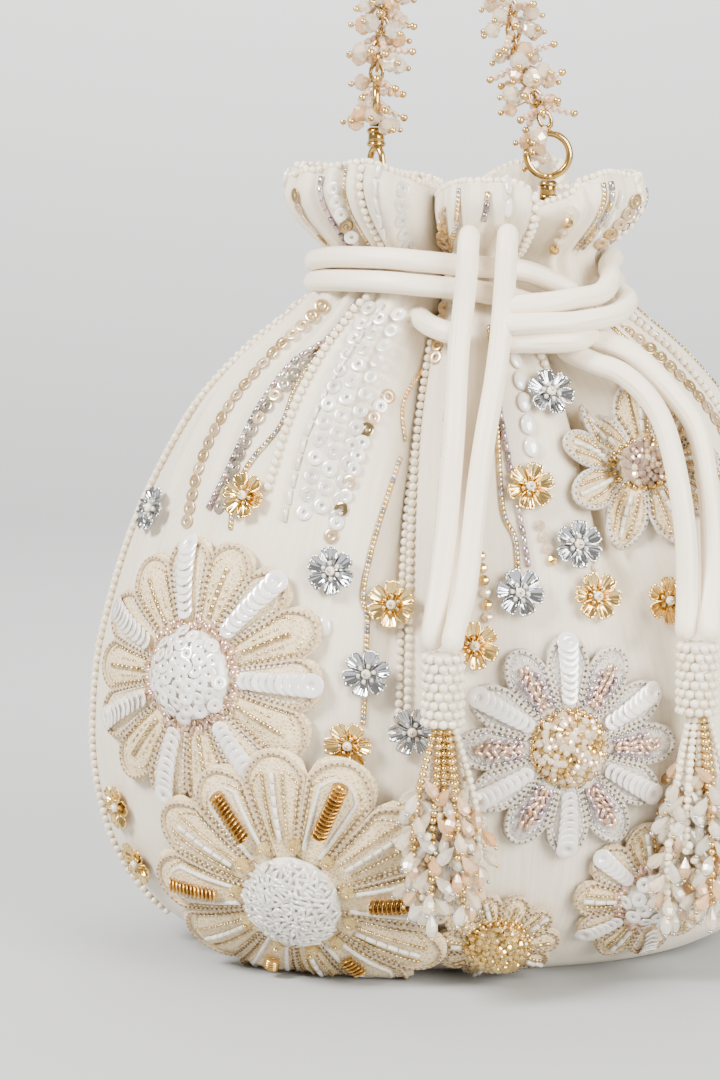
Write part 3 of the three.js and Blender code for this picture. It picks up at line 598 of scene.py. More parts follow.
def blended(tree, factor, first, second):
    inputs = {"Factor": factor, "A": first, "B": second}
    return node(tree, "Mix", inputs, data_type="RGBA").outputs["Result"]


def bumped(tree, height, strength, distance, under=None):
    inputs = {"Height": height, "Strength": strength, "Distance": distance}
    if under is not None:
        inputs["Normal"] = under
    return node(tree, "Bump", inputs).outputs[0]


def shared_group(name, inputs, outputs, fill):
    """A shader node group with named sockets, built once."""
    group = bpy.data.node_groups.get(name)
    if group:
        return group
    group = bpy.data.node_groups.new(name, "ShaderNodeTree")
    for key, kind, value in inputs:
        group.interface.new_socket(key, in_out="INPUT", socket_type="NodeSocket" + kind).default_value = value
    for key, kind in outputs:
        group.interface.new_socket(key, in_out="OUTPUT", socket_type="NodeSocket" + kind)
    into = group.nodes.new("NodeGroupInput")
    out = group.nodes.new("NodeGroupOutput")
    connect(group, out, fill(group, into.outputs))
    return group


def weave_group():
    """Crossing threads with thick and thin places, for silk."""
    def fill(tree, given):
        threads = [node(tree, "TexWave", {"Vector": given["Vector"], "Scale": given["Threads"]},
                        wave_type="BANDS", bands_direction=axis).outputs["Fac"] for axis in "XY"]
        slub = noise(tree, mapped(tree, given["Vector"], (1, 0.05, 1)), given["Slubs"], 3.0, Roughness=0.6)
        both = node(tree, "Math", {0: threads[0], 1: threads[1]}, operation="MULTIPLY").outputs[0]
        height = node(tree, "Math", {0: slub, 1: 1.6, 2: both}, operation="MULTIPLY_ADD").outputs[0]
        return {"Height": height, "Slub": slub}

    inputs = [("Vector", "Vector", (0, 0, 0)), ("Threads", "Float", 400.0), ("Slubs", "Float", 60.0)]
    return shared_group("Silk weave", inputs, [("Height", "Float"), ("Slub", "Float")], fill)


def tint_group():
    """Each copy's own tint between two colours, and a broken gloss."""
    def fill(tree, given):
        shade = node(tree, "Attribute", attribute_name="shade").outputs["Fac"]
        grain = noise(tree, node(tree, "TexCoord").outputs["Object"], given["Grain"], 2.0)
        return {
            "Color": blended(tree, shade, given["Light"], given["Dark"]),
            "Gloss": spread(tree, grain, 0.3, 0.7, given["Gloss low"], given["Gloss high"]),
            "Grain": grain,
        }

    inputs = [("Light", "Color", (1, 1, 1, 1)), ("Dark", "Color", (0.5, 0.5, 0.5, 1)),
              ("Grain", "Float", 900.0), ("Gloss low", "Float", 0.1), ("Gloss high", "Float", 0.3)]
    outputs = [("Color", "Color"), ("Gloss", "Float"), ("Grain", "Float")]
    return shared_group("Bead tint", inputs, outputs, fill)


def rgba(color):
    return (*color[:3], 1.0)


def times(color, share):
    return [min(1, c * share) for c in color]


def tones(color, dark, light):
    return rgba(times(color, dark)), rgba(times(color, light))


def start_material(name):
    made = bpy.data.materials.new(name)
    made.use_nodes = True
    tree = made.node_tree
    return made, tree, tree.nodes["Principled BSDF"]


def silk_material(name, color):
    """Woven raw silk with slubs, soft puckers and a faint mottle."""
    made, tree, shader = start_material(name)
    coords = node(tree, "TexCoord").outputs
    weave = node(tree, "Group", {"Vector": mapped(tree, coords["UV"], (6, 3, 1)), "Threads": 900.0,
                                 "Slubs": 110.0}, node_tree=weave_group()).outputs
    cloud = noise(tree, coords["Object"], 14.0, 3.0)
    mottle = node(tree, "Math", {0: weave["Slub"], 1: cloud}, operation="MULTIPLY").outputs[0]
    pucker = noise(tree, mapped(tree, coords["Object"], (1, 1, 0.4)), 75.0, 3.0)
    connect(tree, shader, {
        "Base Color": blended(tree, spread(tree, mottle, 0.15, 0.38), *tones(color, 0.9, 1.06)),
        "Roughness": spread(tree, weave["Slub"], 0.3, 0.7, 0.42, 0.6),
        "Normal": bumped(tree, weave["Height"], 0.35, 0.0003, bumped(tree, pucker, 0.5, 0.0022)),
        "Sheen Weight": 0.25, "Sheen Roughness": 0.4, "Subsurface Weight": 0.05, "Subsurface Scale": 0.002,
    })
    return made


def satin_material(name, color, source, scale):
    """Smooth satin, drawn into soft creases along its length, with painted shade in their hollows."""
    made, tree, shader = start_material(name)
    coords = node(tree, "TexCoord").outputs
    crease_and_shade = noise(tree, mapped(tree, coords[source], scale), 1.0, 2.0)
    grain = noise(tree, coords["Object"], 900.0, 2.0)
    connect(tree, shader, {
        # Painted shade: the base colour is darker in the low parts of the creases and lighter on their ridges.
        "Base Color": blended(tree, crease_and_shade, *tones(color, 0.9, 1.06)),
        "Roughness": spread(tree, grain, 0.3, 0.7, 0.36, 0.46),
        "Normal": bumped(tree, crease_and_shade, 0.45, 0.0022, bumped(tree, grain, 0.12, 0.0003)),
        "Sheen Weight": 0.3, "Sheen Roughness": 0.35,
    })
    return made


def bead_material(name, light, dark, gloss, metallic=0.0, coat=0.0, film=0.0, glass=0.0, grain=900.0,
                  alpha=1.0, bump=0.0):
    """Beads, sequins and pressed metal: each copy has its own tint, and a fine grain breaks the gloss."""
    made, tree, shader = start_material(name)
    tint = node(tree, "Group", {"Light": rgba(light), "Dark": rgba(dark), "Grain": grain,
                                "Gloss low": gloss[0], "Gloss high": gloss[1]}, node_tree=tint_group()).outputs
    connect(tree, shader, {
        "Base Color": tint["Color"], "Roughness": tint["Gloss"], "Metallic": metallic, "Coat Weight": coat,
        "Coat Roughness": 0.05, "Thin Film Thickness": film, "Transmission Weight": glass, "Alpha": alpha,
    })
    if bump:
        connect(tree, shader, {"Normal": bumped(tree, tint["Grain"], bump, 0.0002)})
    return made


def net_material(name, color):
    """Fine net: knotted threads, with painted shade that darkens the small holes between them, and a faint
    random mottle.
    """
    made, tree, shader = start_material(name)
    coords = node(tree, "TexCoord").outputs
    cells = node(tree, "TexVoronoi", {"Vector": coords["Object"], "Scale": 900.0}, feature="DISTANCE_TO_EDGE")
    cord = spread(tree, cells.outputs["Distance"], 0.04, 0.3, 1.0, 0.0)
    mask = node(tree, "Math", {0: cord, 1: noise(tree, coords["Object"], 60.0, 4.0)}, operation="MULTIPLY")
    connect(tree, shader, {
        # Painted shade, partly a random tone: lighter on the threads, darker in the holes between them, and
        # mottled by the noise.
        "Base Color": blended(tree, spread(tree, mask.outputs[0], 0.0, 0.55), *tones(color, 0.72, 1.15)),
        "Normal": bumped(tree, cord, 0.6, 0.0003), "Roughness": 0.75, "Sheen Weight": 0.2,
    })
    return made


def thread_material(name, light, dark):
    """Twisted thread, lit in short broken strokes."""
    made, tree, shader = start_material(name)
    coords = node(tree, "TexCoord").outputs
    twist = noise(tree, coords["Object"], 1400.0, 2.0)
    connect(tree, shader, {
        "Base Color": blended(tree, spread(tree, twist, 0.35, 0.65), rgba(dark), rgba(light)),
        "Normal": bumped(tree, twist, 0.7, 0.0003), "Roughness": 0.6,
    })
    return made


def stage_material(name, color):
    """Plain backdrop, with painted shade that darkens it towards the floor. It is clear from behind, so that
    views of the back see past it.
    """
    made, tree, shader = start_material(name)
    coords = node(tree, "TexCoord").outputs
    rise = spread(tree, node(tree, "SeparateXYZ", {"Vector": coords["Object"]}).outputs["Z"], 0.0, 0.5)
    back = node(tree, "NewGeometry").outputs["Backfacing"]
    connect(tree, shader, {
        # Painted shade: the base colour is half as bright on the floor and rises to full half a metre up the
        # backdrop.
        "Base Color": blended(tree, rise, *tones(color, 0.5, 1)), "Roughness": 0.85,
        "Specular IOR Level": 0.2,
        "Alpha": node(tree, "Math", {0: 1.0, 1: back}, operation="SUBTRACT").outputs[0],
    })
    return made


# Finishes of the beads and sequins: the light and the dark end of their tint, the range of their gloss, and
# what else sets them apart.
BEADS = {
    # The eyelet finish is painted shade: dark beads that stand in for the shadowed holes of the flowers'
    # borders.
    "eyelet": ((0.2, 0.13, 0.06), (0.1, 0.065, 0.03), (0.5, 0.7), {}),
    "pearl": ((0.9, 0.82, 0.67), (0.8, 0.69, 0.53), (0.07, 0.18), {"coat": 0.9, "film": 260.0, "bump": 0.05}),
    "white seed": ((0.82, 0.78, 0.71), (0.66, 0.6, 0.52), (0.08, 0.2), {"coat": 0.6}),
    "gold sequin": ((0.78, 0.56, 0.29), (0.44, 0.28, 0.11), (0.14, 0.3), {"metallic": 0.8, "bump": 0.1}),
    "deep gold sequin": ((0.72, 0.45, 0.14), (0.42, 0.23, 0.05), (0.12, 0.26), {"metallic": 0.85}),
    "champagne sequin": ((0.76, 0.57, 0.36), (0.52, 0.36, 0.2), (0.14, 0.3), {"metallic": 0.5, "coat": 0.4}),
    "dark gold sequin": ((0.4, 0.29, 0.14), (0.16, 0.1, 0.05), (0.08, 0.2), {"metallic": 0.9}),
    "clear sequin": ((0.86, 0.82, 0.77), (0.68, 0.64, 0.62), (0.06, 0.18),
                     {"metallic": 0.1, "coat": 1.0, "film": 420.0, "alpha": 0.5}),
    "white sequin": ((0.95, 0.91, 0.85), (0.8, 0.75, 0.71), (0.08, 0.2),
                     {"metallic": 0.12, "coat": 1.0, "film": 330.0}),
    "grey sequin": ((0.62, 0.54, 0.44), (0.32, 0.26, 0.2), (0.1, 0.26), {"metallic": 0.7}),
    "silver bugle": ((0.74, 0.7, 0.66), (0.24, 0.2, 0.19), (0.06, 0.18), {"metallic": 0.85}),
    "lilac bugle": ((0.72, 0.53, 0.52), (0.34, 0.25, 0.3), (0.05, 0.14),
                    {"metallic": 0.75, "coat": 0.8, "film": 520.0}),
    "rose bugle": ((0.85, 0.59, 0.44), (0.55, 0.34, 0.23), (0.05, 0.14), {"metallic": 0.65, "coat": 0.8}),
    "clear bugle": ((0.86, 0.82, 0.76), (0.66, 0.61, 0.55), (0.05, 0.15),
                    {"coat": 0.8, "metallic": 0.08, "glass": 0.1}),
    "gold bit": ((0.86, 0.68, 0.4), (0.46, 0.32, 0.14), (0.1, 0.26), {"metallic": 0.9}),
    "yellow crystal": ((0.95, 0.76, 0.34), (0.86, 0.62, 0.2), (0.02, 0.08), {"glass": 0.7, "coat": 0.8}),
    "orange accent": ((0.8, 0.5, 0.2), (0.6, 0.32, 0.1), (0.12, 0.25), {"metallic": 0.6}),
    "pink seed": ((1.0, 0.77, 0.56), (0.94, 0.6, 0.36), (0.04, 0.12), {"coat": 0.8, "glass": 0.4}),
    "clear crystal": ((1.0, 0.95, 0.84), (1.0, 0.87, 0.66), (0.02, 0.07), {"glass": 0.62, "coat": 1.0}),
    "champagne crystal": ((0.97, 0.84, 0.64), (0.6, 0.42, 0.25), (0.03, 0.1), {"metallic": 0.4, "coat": 1.0}),
    "brown bead": ((0.6, 0.46, 0.38), (0.34, 0.23, 0.18), (0.06, 0.2), {"metallic": 0.6}),
}
THREADS = {
    "thread": ((0.66, 0.52, 0.34), (0.42, 0.29, 0.16)),
    "grey thread": ((0.68, 0.63, 0.56), (0.42, 0.37, 0.31)),
    "white thread": ((0.8, 0.77, 0.71), (0.6, 0.56, 0.5)),
}
GREY_NET = (0.56, 0.51, 0.45)
PEACH = (0.95, 0.58, 0.28)


def own_bead(name):
    """The row of a bead finish whose colour is one of the sidebar's."""
    scene = bpy.context.scene
    trim, handle = scene.potli_trim, scene.potli_handle
    metal = {"metallic": 1.0, "bump": 0.1, "grain": 400.0}
    return {
        "gold bead": (trim.gold, times(trim.gold, 0.72), (0.08, 0.2), {"metallic": 0.95}),
        "silver bead": (trim.silver, times(trim.silver, 0.7), (0.1, 0.22), {"metallic": 0.95}),
        "gold press": (trim.gold, times(trim.gold, 0.86), (0.1, 0.22), metal),
        "silver press": (times(trim.silver, 0.8), trim.silver, (0.05, 0.14), metal),
        "peach crystal": (handle.crystal, PEACH, (0.02, 0.08), {"glass": 0.6, "coat": 0.9}),
        "brass": (handle.brass, times(handle.brass, 0.8), (0.1, 0.24), {"metallic": 1.0, "grain": 260.0}),
    }[name]


def make_material(name):
    scene = bpy.context.scene
    if name in THREADS:
        return thread_material(name, *THREADS[name])
    makers = {
        "raw silk": (silk_material, scene.potli_pouch.silk),
        "cord silk": (satin_material, scene.potli_cord.silk, "UV", (6, 2, 1)),
        "loop satin": (satin_material, scene.potli_cord.silk, "Object", (300, 300, 300)),
        "net": (net_material, scene.potli_trim.net),
        "grey net": (net_material, GREY_NET),
        "backdrop": (stage_material, scene.potli_stage.floor),
    }
    if name in makers:
        make, *rest = makers[name]
        return make(name, *rest)
    light, dark, gloss, more = BEADS.get(name) or own_bead(name)
    return bead_material(name, light, dark, gloss, **more)


def material(name):
    return bpy.data.materials.get(name) or make_material(name)


class POTLI_OT_stage(bpy.types.Operator):
    """Sets the camera, the pale floor with its backdrop, and the soft studio light"""
    bl_idname = "potli.stage"
    bl_label = "Stage"

    def execute(self, context):
        stage = context.scene.potli_stage
        aim = Vector(stage.aim)
        back = Vector((0, -math.cos(stage.raised), math.sin(stage.raised)))
        camera = bpy.data.objects.new("camera", bpy.data.cameras.new("camera"))
        camera.data.lens = stage.lens
        camera.data.sensor_width = 36
        camera.location = aim + back * stage.distance
        camera.rotation_euler = (math.pi / 2 - stage.raised, 0, 0)
        context.scene.collection.objects.link(camera)
        context.scene.camera = camera
        self.floor()
        self.light("key", (-0.85, -0.6, 0.95), aim, 0.42, 46.0, (1, 0.985, 0.95))
        self.light("fill", (0.8, -0.95, 0.55), aim, 0.8, 44.0, (1, 0.98, 0.93))
        self.light("top", (0.05, 0.25, 1.15), aim, 0.8, 6.0, (1, 1, 1))
        self.light("wall", (0, 0.5, 1.2), (0, 1.7, 0.35), 1.2, 33.0, (1, 0.99, 0.97))
        world = bpy.data.worlds.new("studio")
        world.use_nodes = True
        sky = world.node_tree.nodes["Background"]
        connect(world.node_tree, sky, {"Color": (1, 0.94, 0.83, 1), "Strength": 0.47})
        context.scene.world = world
        return {"FINISHED"}

    def floor(self):
        def bend(u, v):
            run = (v - 0.35) * 4.4
            bend_start, radius = 1.0, 0.7
            arc = np.clip(run - bend_start, 0, radius * math.pi / 2)
            y = np.minimum(run, bend_start) + radius * np.sin(arc / radius)
            z = radius * (1 - np.cos(arc / radius)) + np.maximum(run - bend_start - radius * math.pi / 2, 0)
            return np.stack([(u - 0.5) * 5, y, z], axis=1)

        mesh = bent_grid("backdrop", 4, 60, bend)
        mesh.flip_normals()
        floor = bpy.data.objects.new("backdrop", mesh)
        mesh.materials.append(material("backdrop"))
        bpy.context.scene.collection.objects.link(floor)

    def light(self, name, place, aim, size, power, color):
        lamp = bpy.data.lights.new(name, "AREA")
        lamp.shape = "SQUARE"
        lamp.size = size
        lamp.energy = power
        lamp.color = color
        made = bpy.data.objects.new(name, lamp)
        made.location = place
        made.rotation_euler = (Vector(aim) - Vector(place)).to_track_quat("-Z", "Y").to_euler()
        bpy.context.scene.collection.objects.link(made)


class POTLI_OT_pouch(bpy.types.Operator):
    """Makes the gathered silk pouch, outside and in, as one cloth wall"""
    bl_idname = "potli.pouch"
    bl_label = "Pouch"

    def execute(self, context):
        pouch = Pouch(context.scene.potli_pouch)
        outside, inside = 112, 36
        total = outside + inside
        up, down = np.linspace(0, pouch.top, outside), np.linspace(pouch.top, 0, inside - 1)
        heights = np.concatenate([[0], up, down, [0]])
        side = np.concatenate([np.zeros(outside + 1), np.ones(inside)])
        shrink = np.ones(total + 1)
        shrink[0] = shrink[-1] = 0

        def bend(u, v):
            k = np.rint(v * total).astype(int)
            at, level = u * 360, heights[k]
            outer = pouch.point(at, level)
            inner = pouch.point(at, level, inset=pouch.size.cloth)
            inner[:, 2] = np.where(level >= pouch.top, outer[:, 2], np.maximum(inner[:, 2], pouch.size.cloth))
            place = np.where(side[k][:, None] > 0, inner, outer)
            place[:, :2] *= shrink[k][:, None]
            return place

        piece = placed(bent_grid("pouch", 360, total, bend), "silk", "raw silk")
        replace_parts(piece, "bag")
        return {"FINISHED"}


class Drape:
    """A flat drawing laid on the smooth pouch round a point, by walking out from it in every direction.

    Settle is how far it then sinks into the pleats and creases under it, from 0 to 1.
    """
    STEP = 0.5 * MM
    RAYS = 96
    LOWEST = 0.9 * MM

    def __init__(self, pouch, at, height, reach, settle=0.0):
        level = pouch.level_at(height * pouch.size.neck_height)
        turn = np.linspace(0, math.tau, self.RAYS, endpoint=False)
        ats, levels = np.full(self.RAYS, float(at)), np.full(self.RAYS, float(level))
        across, along, out = pouch.slopes(ats, levels, False)
        heading = unit(across) * np.cos(turn)[:, None] + unit(along) * np.sin(turn)[:, None]
        trail = [(ats.copy(), levels.copy())]
        for _ in range(int(reach / self.STEP) + 2):
            across, along, _ = pouch.slopes(ats, levels, False)
            aa, ab, bb = (np.sum(a * b, axis=1)
                          for a, b in ((across, across), (across, along), (along, along)))
            ha, hb = np.sum(heading * across, axis=1), np.sum(heading * along, axis=1)
            scale = self.STEP / (aa * bb - ab * ab) * (levels > 0)
            moved_at, moved_level = (ha * bb - hb * ab) * scale, (hb * aa - ha * ab) * scale
            turned = across * moved_at[:, None] + along * moved_level[:, None]
            heading = np.where((levels > 0)[:, None], unit(turned), heading)
            ats, levels = ats + moved_at, np.maximum(levels + moved_level, 0)
            trail.append((ats.copy(), levels.copy()))
        ats, levels = (np.stack(column) for column in zip(*trail))
        self.places = pouch.point(ats, levels, False)
        self.outs = pouch.slopes(ats, levels, False)[2]
        hollow = np.sum((self.places - pouch.point(ats, levels)) * self.outs, axis=-1)
        self.places = self.places - self.outs * (np.clip(hollow, 0, None) * settle)[..., None]
        self.middle = self.places[0, 0]
        self.out = self.outs[0, 0]
        self.right = unit(pouch.slopes(np.array([at]), np.array([level]), False)[0])[0]
        self.up = np.cross(self.out, self.right)

    def at(self, x, y, off):
        """Points over the pouch for points of the drawing."""
        x, y = np.asarray(x, float), np.asarray(y, float)
        far = np.clip(np.hypot(x, y) / self.STEP, 0, len(self.places) - 1.001)
        ray = np.mod(np.arctan2(y, x), math.tau) / math.tau * self.RAYS
        i, j = far.astype(int), np.minimum(ray.astype(int), self.RAYS - 1)
        f, g = (far - i)[..., None], (ray - j)[..., None]
        after = (j + 1) % self.RAYS

        def blend(grid):
            low = grid[i, j] * (1 - g) + grid[i, after] * g
            high = grid[i + 1, j] * (1 - g) + grid[i + 1, after] * g
            return low * (1 - f) + high * f

        out = unit(blend(self.outs))
        place = blend(self.places) + out * np.asarray(off)[..., None]
        place[..., 2] = np.maximum(place[..., 2], self.LOWEST)
        return place, out

    def spots(self, x, y, off, heading):
        x, y, off, heading = np.broadcast_arrays(*(np.asarray(a, float) for a in (x, y, off, heading)))
        place, out = self.at(x, y, off)
        ahead = self.at(x + 0.2 * MM * np.cos(heading), y + 0.2 * MM * np.sin(heading), off)[0] - place
        return Spots(place, ahead, out)

    def flat(self, x, y, off):
        """Points of the flat frame at the middle, for small hard pieces."""
        x, y, off = (np.asarray(a, float)[..., None] for a in (x, y, off))
        return self.middle + self.right * x + self.up * y + self.out * off


# Flowers: degrees round, share of the neck's height, radius, petals, how far in the notches come, radius and
# rise of the bead dome, net, thread, what fills the even and the odd petals, and the dome's beads and ring.
# They are those of the part's source, but flower_1, 2 and 4 follow the photograph more closely.
FLOWERS = table("at height radius petals notch dome rise net thread even odd heart ring", [
    (-44, 0.437, 37.5, 14, 0.86, 12, 1.1, "net", "thread", "white cups", "gold lines", "white cups",
     "rose bugle"),
    (-27.5, 0.14, 41, 12, 0.84, 13, 1.1, "net", "thread", "gold cups", "white loops", "white bugles",
     "yellow crystal"),
    (14.5, 0.353, 29, 12, 0.66, 9, 0.9, "grey net", "grey thread", "lilac bugles", "white cups",
     "champagne beads", "gold bead"),
    (34.5, 0.732, 23.5, 9, 0.42, 6, 0.6, "net", "grey thread", "white loops", "white loops", "brown beads",
     "gold bead"),
    (5.5, 0.074, 16.5, 10, 0.8, 8, 1, "net", "thread", "gold lines", "white loops", "gold beads", "gold bead"),
    (30.5, 0.135, 21.5, 10, 0.78, 8, 0.9, "net", "thread", "white cups", "white loops", "white cups",
     "rose bugle"),
    (84, 0.42, 36, 14, 0.86, 11, 1, "net", "thread", "white cups", "gold lines", "white cups", "rose bugle"),
    (146, 0.45, 37, 12, 0.72, 10, 1, "grey net", "grey thread", "lilac bugles", "white cups",
     "champagne beads", "gold bead"),
    (206, 0.33, 38, 14, 0.86, 12, 1.1, "net", "thread", "gold cups", "white loops", "white bugles",
     "yellow crystal"),
])
FLOWER_LIFT = 0.95 * MM
# flower_2 lies over the edge of flower_1.
OVERLAP_LIFT = 2.6 * MM
FLOWER_SETTLE = 0.65
FLOWER_THICK = 2 * MM
NET_FOOT = 0.9 * MM
NET_PUFF = 1.9 * MM
NET_THICK = 0.5 * MM
SEWN_GAP = 0.3 * MM
DOME_RISE = 5 * MM
DOME_FILL = 1.35
# Beads of the domes: what lies under them, their size in millimetres, and the finishes they are picked from.
HEARTS = {
    "white cups": ("white seed", 4.3, ()),
    "white bugles": ("white seed", 1.9, ()),
    "champagne beads": ("champagne sequin", 2.1, ("champagne crystal", "gold bead", "champagne crystal")),
    "brown beads": ("brown bead", 2.1, ("brown bead", "champagne crystal", "brown bead")),
    "gold beads": ("gold bit", 2.1, ("gold bead", "yellow crystal", "gold bead")),
}


class Flower:
    """One sewn flower: a scalloped, puffed net with filled petals and a bead dome."""

    def __init__(self, pouch, row, number):
        self.row, self.name = row, f"flower_{number}"
        self.radius, self.count = row["radius"] * MM, row["petals"]
        self.dome = row["dome"] * MM
        self.lift = FLOWER_LIFT + (OVERLAP_LIFT if number == 2 else 0)
        self.drape = Drape(pouch, row["at"], row["height"], self.radius * 1.1, FLOWER_SETTLE)
        self.trim = Trim(f"{self.name}_trim")
        self.rng = np.random.default_rng(SEED + number)
        self.sway = self.rng.uniform(-0.03, 0.03, self.count)

    def reach(self, turn):
        """How far the petals reach at an angle, and where across its petal that is, from -1 to 1."""
        share = np.mod(turn / math.tau * self.count + 0.5, 1) * 2 - 1
        petal = np.mod(np.rint(turn / math.tau * self.count), self.count).astype(int)
        notch = self.row["notch"]
        round_end = np.sqrt(np.clip(1 - share ** 2, 0, 1))
        return self.radius * (notch + (1 - notch) * round_end) * (1 + self.sway[petal] * round_end), share

    def rise(self, turn, part):
        """Height of the puffed net at an angle and at a part of the way out."""
        _, share = self.reach(turn)
        puff = np.sqrt(np.clip(1 - share ** 2, 0, 1)) * np.sin(math.pi * np.clip(part, 0, 1) ** 1.4) ** 0.7
        return self.lift + NET_FOOT + NET_PUFF * np.nan_to_num(puff)

    def net(self):
        def bend(u, v):
            turn = math.tau * u
            reach, _ = self.reach(turn)
            far = reach * v
            return self.drape.at(far * np.cos(turn), far * np.sin(turn), self.rise(turn, v))[0]

        mesh = bent_grid(f"{self.name}_net", self.count * 10, 16, bend)
        piece = placed(mesh, "flower_net", self.row["net"])
        thicken(piece, NET_THICK)
        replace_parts(piece, self.name)

    def run(self, petal, across, start, end, pitch, off, curl=0.0):
        """Spots out along a petal. Across is their place off its middle, as a share of the half width."""
        part = np.linspace(start, end, 16)
        share = across * (1 - curl * part ** 3)
        turn = (petal + share / 2) * math.tau / self.count
        far = self.reach(turn)[0] * part
        places, outs = self.drape.at(far * np.cos(turn), far * np.sin(turn), self.rise(turn, part) + off)
        return spots_on_path(places, outs, pitch)

    def border(self, petal, inset, start):
        """A loop out along one side of a petal, round its end and back."""
        side = np.sin(np.linspace(-math.pi / 2, math.pi / 2, 15))
        share = np.concatenate([np.full(6, -1.0), side, np.full(6, 1.0)]) * inset
        end = 0.9 + 0.07 * np.cos(side * math.pi / 2)
        out, back = np.linspace(start, 0.9, 6, endpoint=False), np.linspace(0.9, start, 7)[1:]
        part = np.concatenate([out, end, back])
        turn = (petal + share / 2) * math.tau / self.count
        far = self.reach(turn)[0] * (part if inset > 0.8 else part * (0.94 - 0.12 * (1 - inset)))
        return self.drape.at(far * np.cos(turn), far * np.sin(turn), self.rise(turn, part) + 0.25 * MM)

    def sewn(self, petal, across, start, end, pitch, off, curl, size, finish):
        """One plain row of bugles out along a petal, with its measures in millimetres."""
        spots = self.run(petal, across, start, end, pitch * MM, off * MM, curl)
        self.trim.add("bugle", spots, mm(*size), finish)

    def fill(self, petal, kind):
        trim, start = self.trim, self.dome / self.radius + 0.1
        wide = math.tau * self.radius / self.count
        if kind == "white cups":
            spots = self.run(petal, 0, start, 0.94, wide * 0.135, 0.8 * MM)
            size = (np.linspace(0.72, 1, len(spots.place)) * wide * 0.4)[:, None] * np.ones(3)
            spots = spots.tilted(-17 + self.rng.uniform(-5, 5, len(spots.place)))
            trim.add("disc", spots, size, "white sequin")
        elif kind == "gold cups":
            spots = self.run(petal, 0, start + 0.06, 0.82, 1.2 * MM, 1.3 * MM)
            spots = spots.kept(spots.place[:, 2] > 3.5 * MM)
            trim.add("cup", spots.tilted(-62), mm(3.6, 4.6, 4.2), "deep gold sequin")
            self.loops.append(self.border(petal, 0.56, start)[0])
        elif kind == "gold lines":
            self.sewn(petal, 0, start, 0.8, 2.1, 0.3, 0, (1.9, 1.3, 1.0), "gold bit")
            for across in (-0.45, 0.45):
                self.sewn(petal, across, start + 0.1, 0.72, 2.2, 0.1, 0.3, (1.2, 0.5, 0.5), "gold bit")
        elif kind == "lilac bugles":
            for across in (-0.48, -0.16, 0.16, 0.48):
                end = 0.88 - 0.22 * abs(across)
                spots = self.run(petal, across, start, end, 2.1 * MM, 0.6 * MM, 0.3)
                spots = spots.turned(self.rng.uniform(-55, 55, len(spots.place)))
                spots = spots.tilted(self.rng.uniform(-12, 12, len(spots.place)))
                finish = "lilac bugle" if abs(across) > 0.3 else "rose bugle"
                trim.add("bugle", spots, mm(2.3, 1.2, 1.2), finish)
        elif kind == "white loops":
            self.sewn(petal, 0, start, 0.86, 3.1, 0.6, 0, (2.8, 1.3, 1.3), "white seed")
            for across in (-0.4, 0.4):
                self.sewn(petal, across, start, 0.87, 1.25, 0.4, 0.35, (1.1, 0.8, 0.8), "gold bit")

    def petals(self):
        borders = []
        self.loops = []
        start = self.dome / self.radius + 0.04
        for petal in range(self.count):
            kind = self.row["odd" if petal % 2 else "even"]
            borders.append(self.border(petal, 0.93, start)[0])
            places, outs = self.border(petal, 0.78, start)
            edge = {"white cups": "white seed", "lilac bugles": "silver bead"}.get(kind, "gold bit")
            self.trim.add("bugle", spots_on_path(places, outs, 1.5 * MM), mm(1.05, 0.75, 0.75), edge)
            # Painted shade: small dark beads round each petal stand in for the shadowed holes of its border.
            hole_shade_dots = spots_on_path(*self.border(petal, 0.89, start), 1.6 * MM).moved(off=0.5 * MM)
            self.trim.add("seed", hole_shade_dots, mm(0.85, 0.7, 0.6), "eyelet")
            self.fill(petal, kind)
        threads(f"{self.name}_threads", borders, 1.5 * MM, self.row["thread"], "flower_net")
        if self.loops:
            threads(f"{self.name}_loops", self.loops, 1.2 * MM, "white thread", "flower_net")

    def heart(self):
        """The bead dome: a mound with its own beads, and a ring round its foot."""
        foot = self.lift + FLOWER_THICK + SEWN_GAP
        high = DOME_RISE * self.row["rise"]

        def mound(x, y):
            return foot + high * np.sqrt(np.clip(1 - (x ** 2 + y ** 2) / self.dome ** 2, 0, 1)) ** 1.2

        def bend(u, v):
            far = self.dome * np.minimum(v * 1.15, 1)
            x, y = far * np.cos(math.tau * u), far * np.sin(math.tau * u)
            return self.drape.flat(x, y, np.where(v * 1.15 > 1.0001, foot - 1.2 * MM, mound(x, y)))

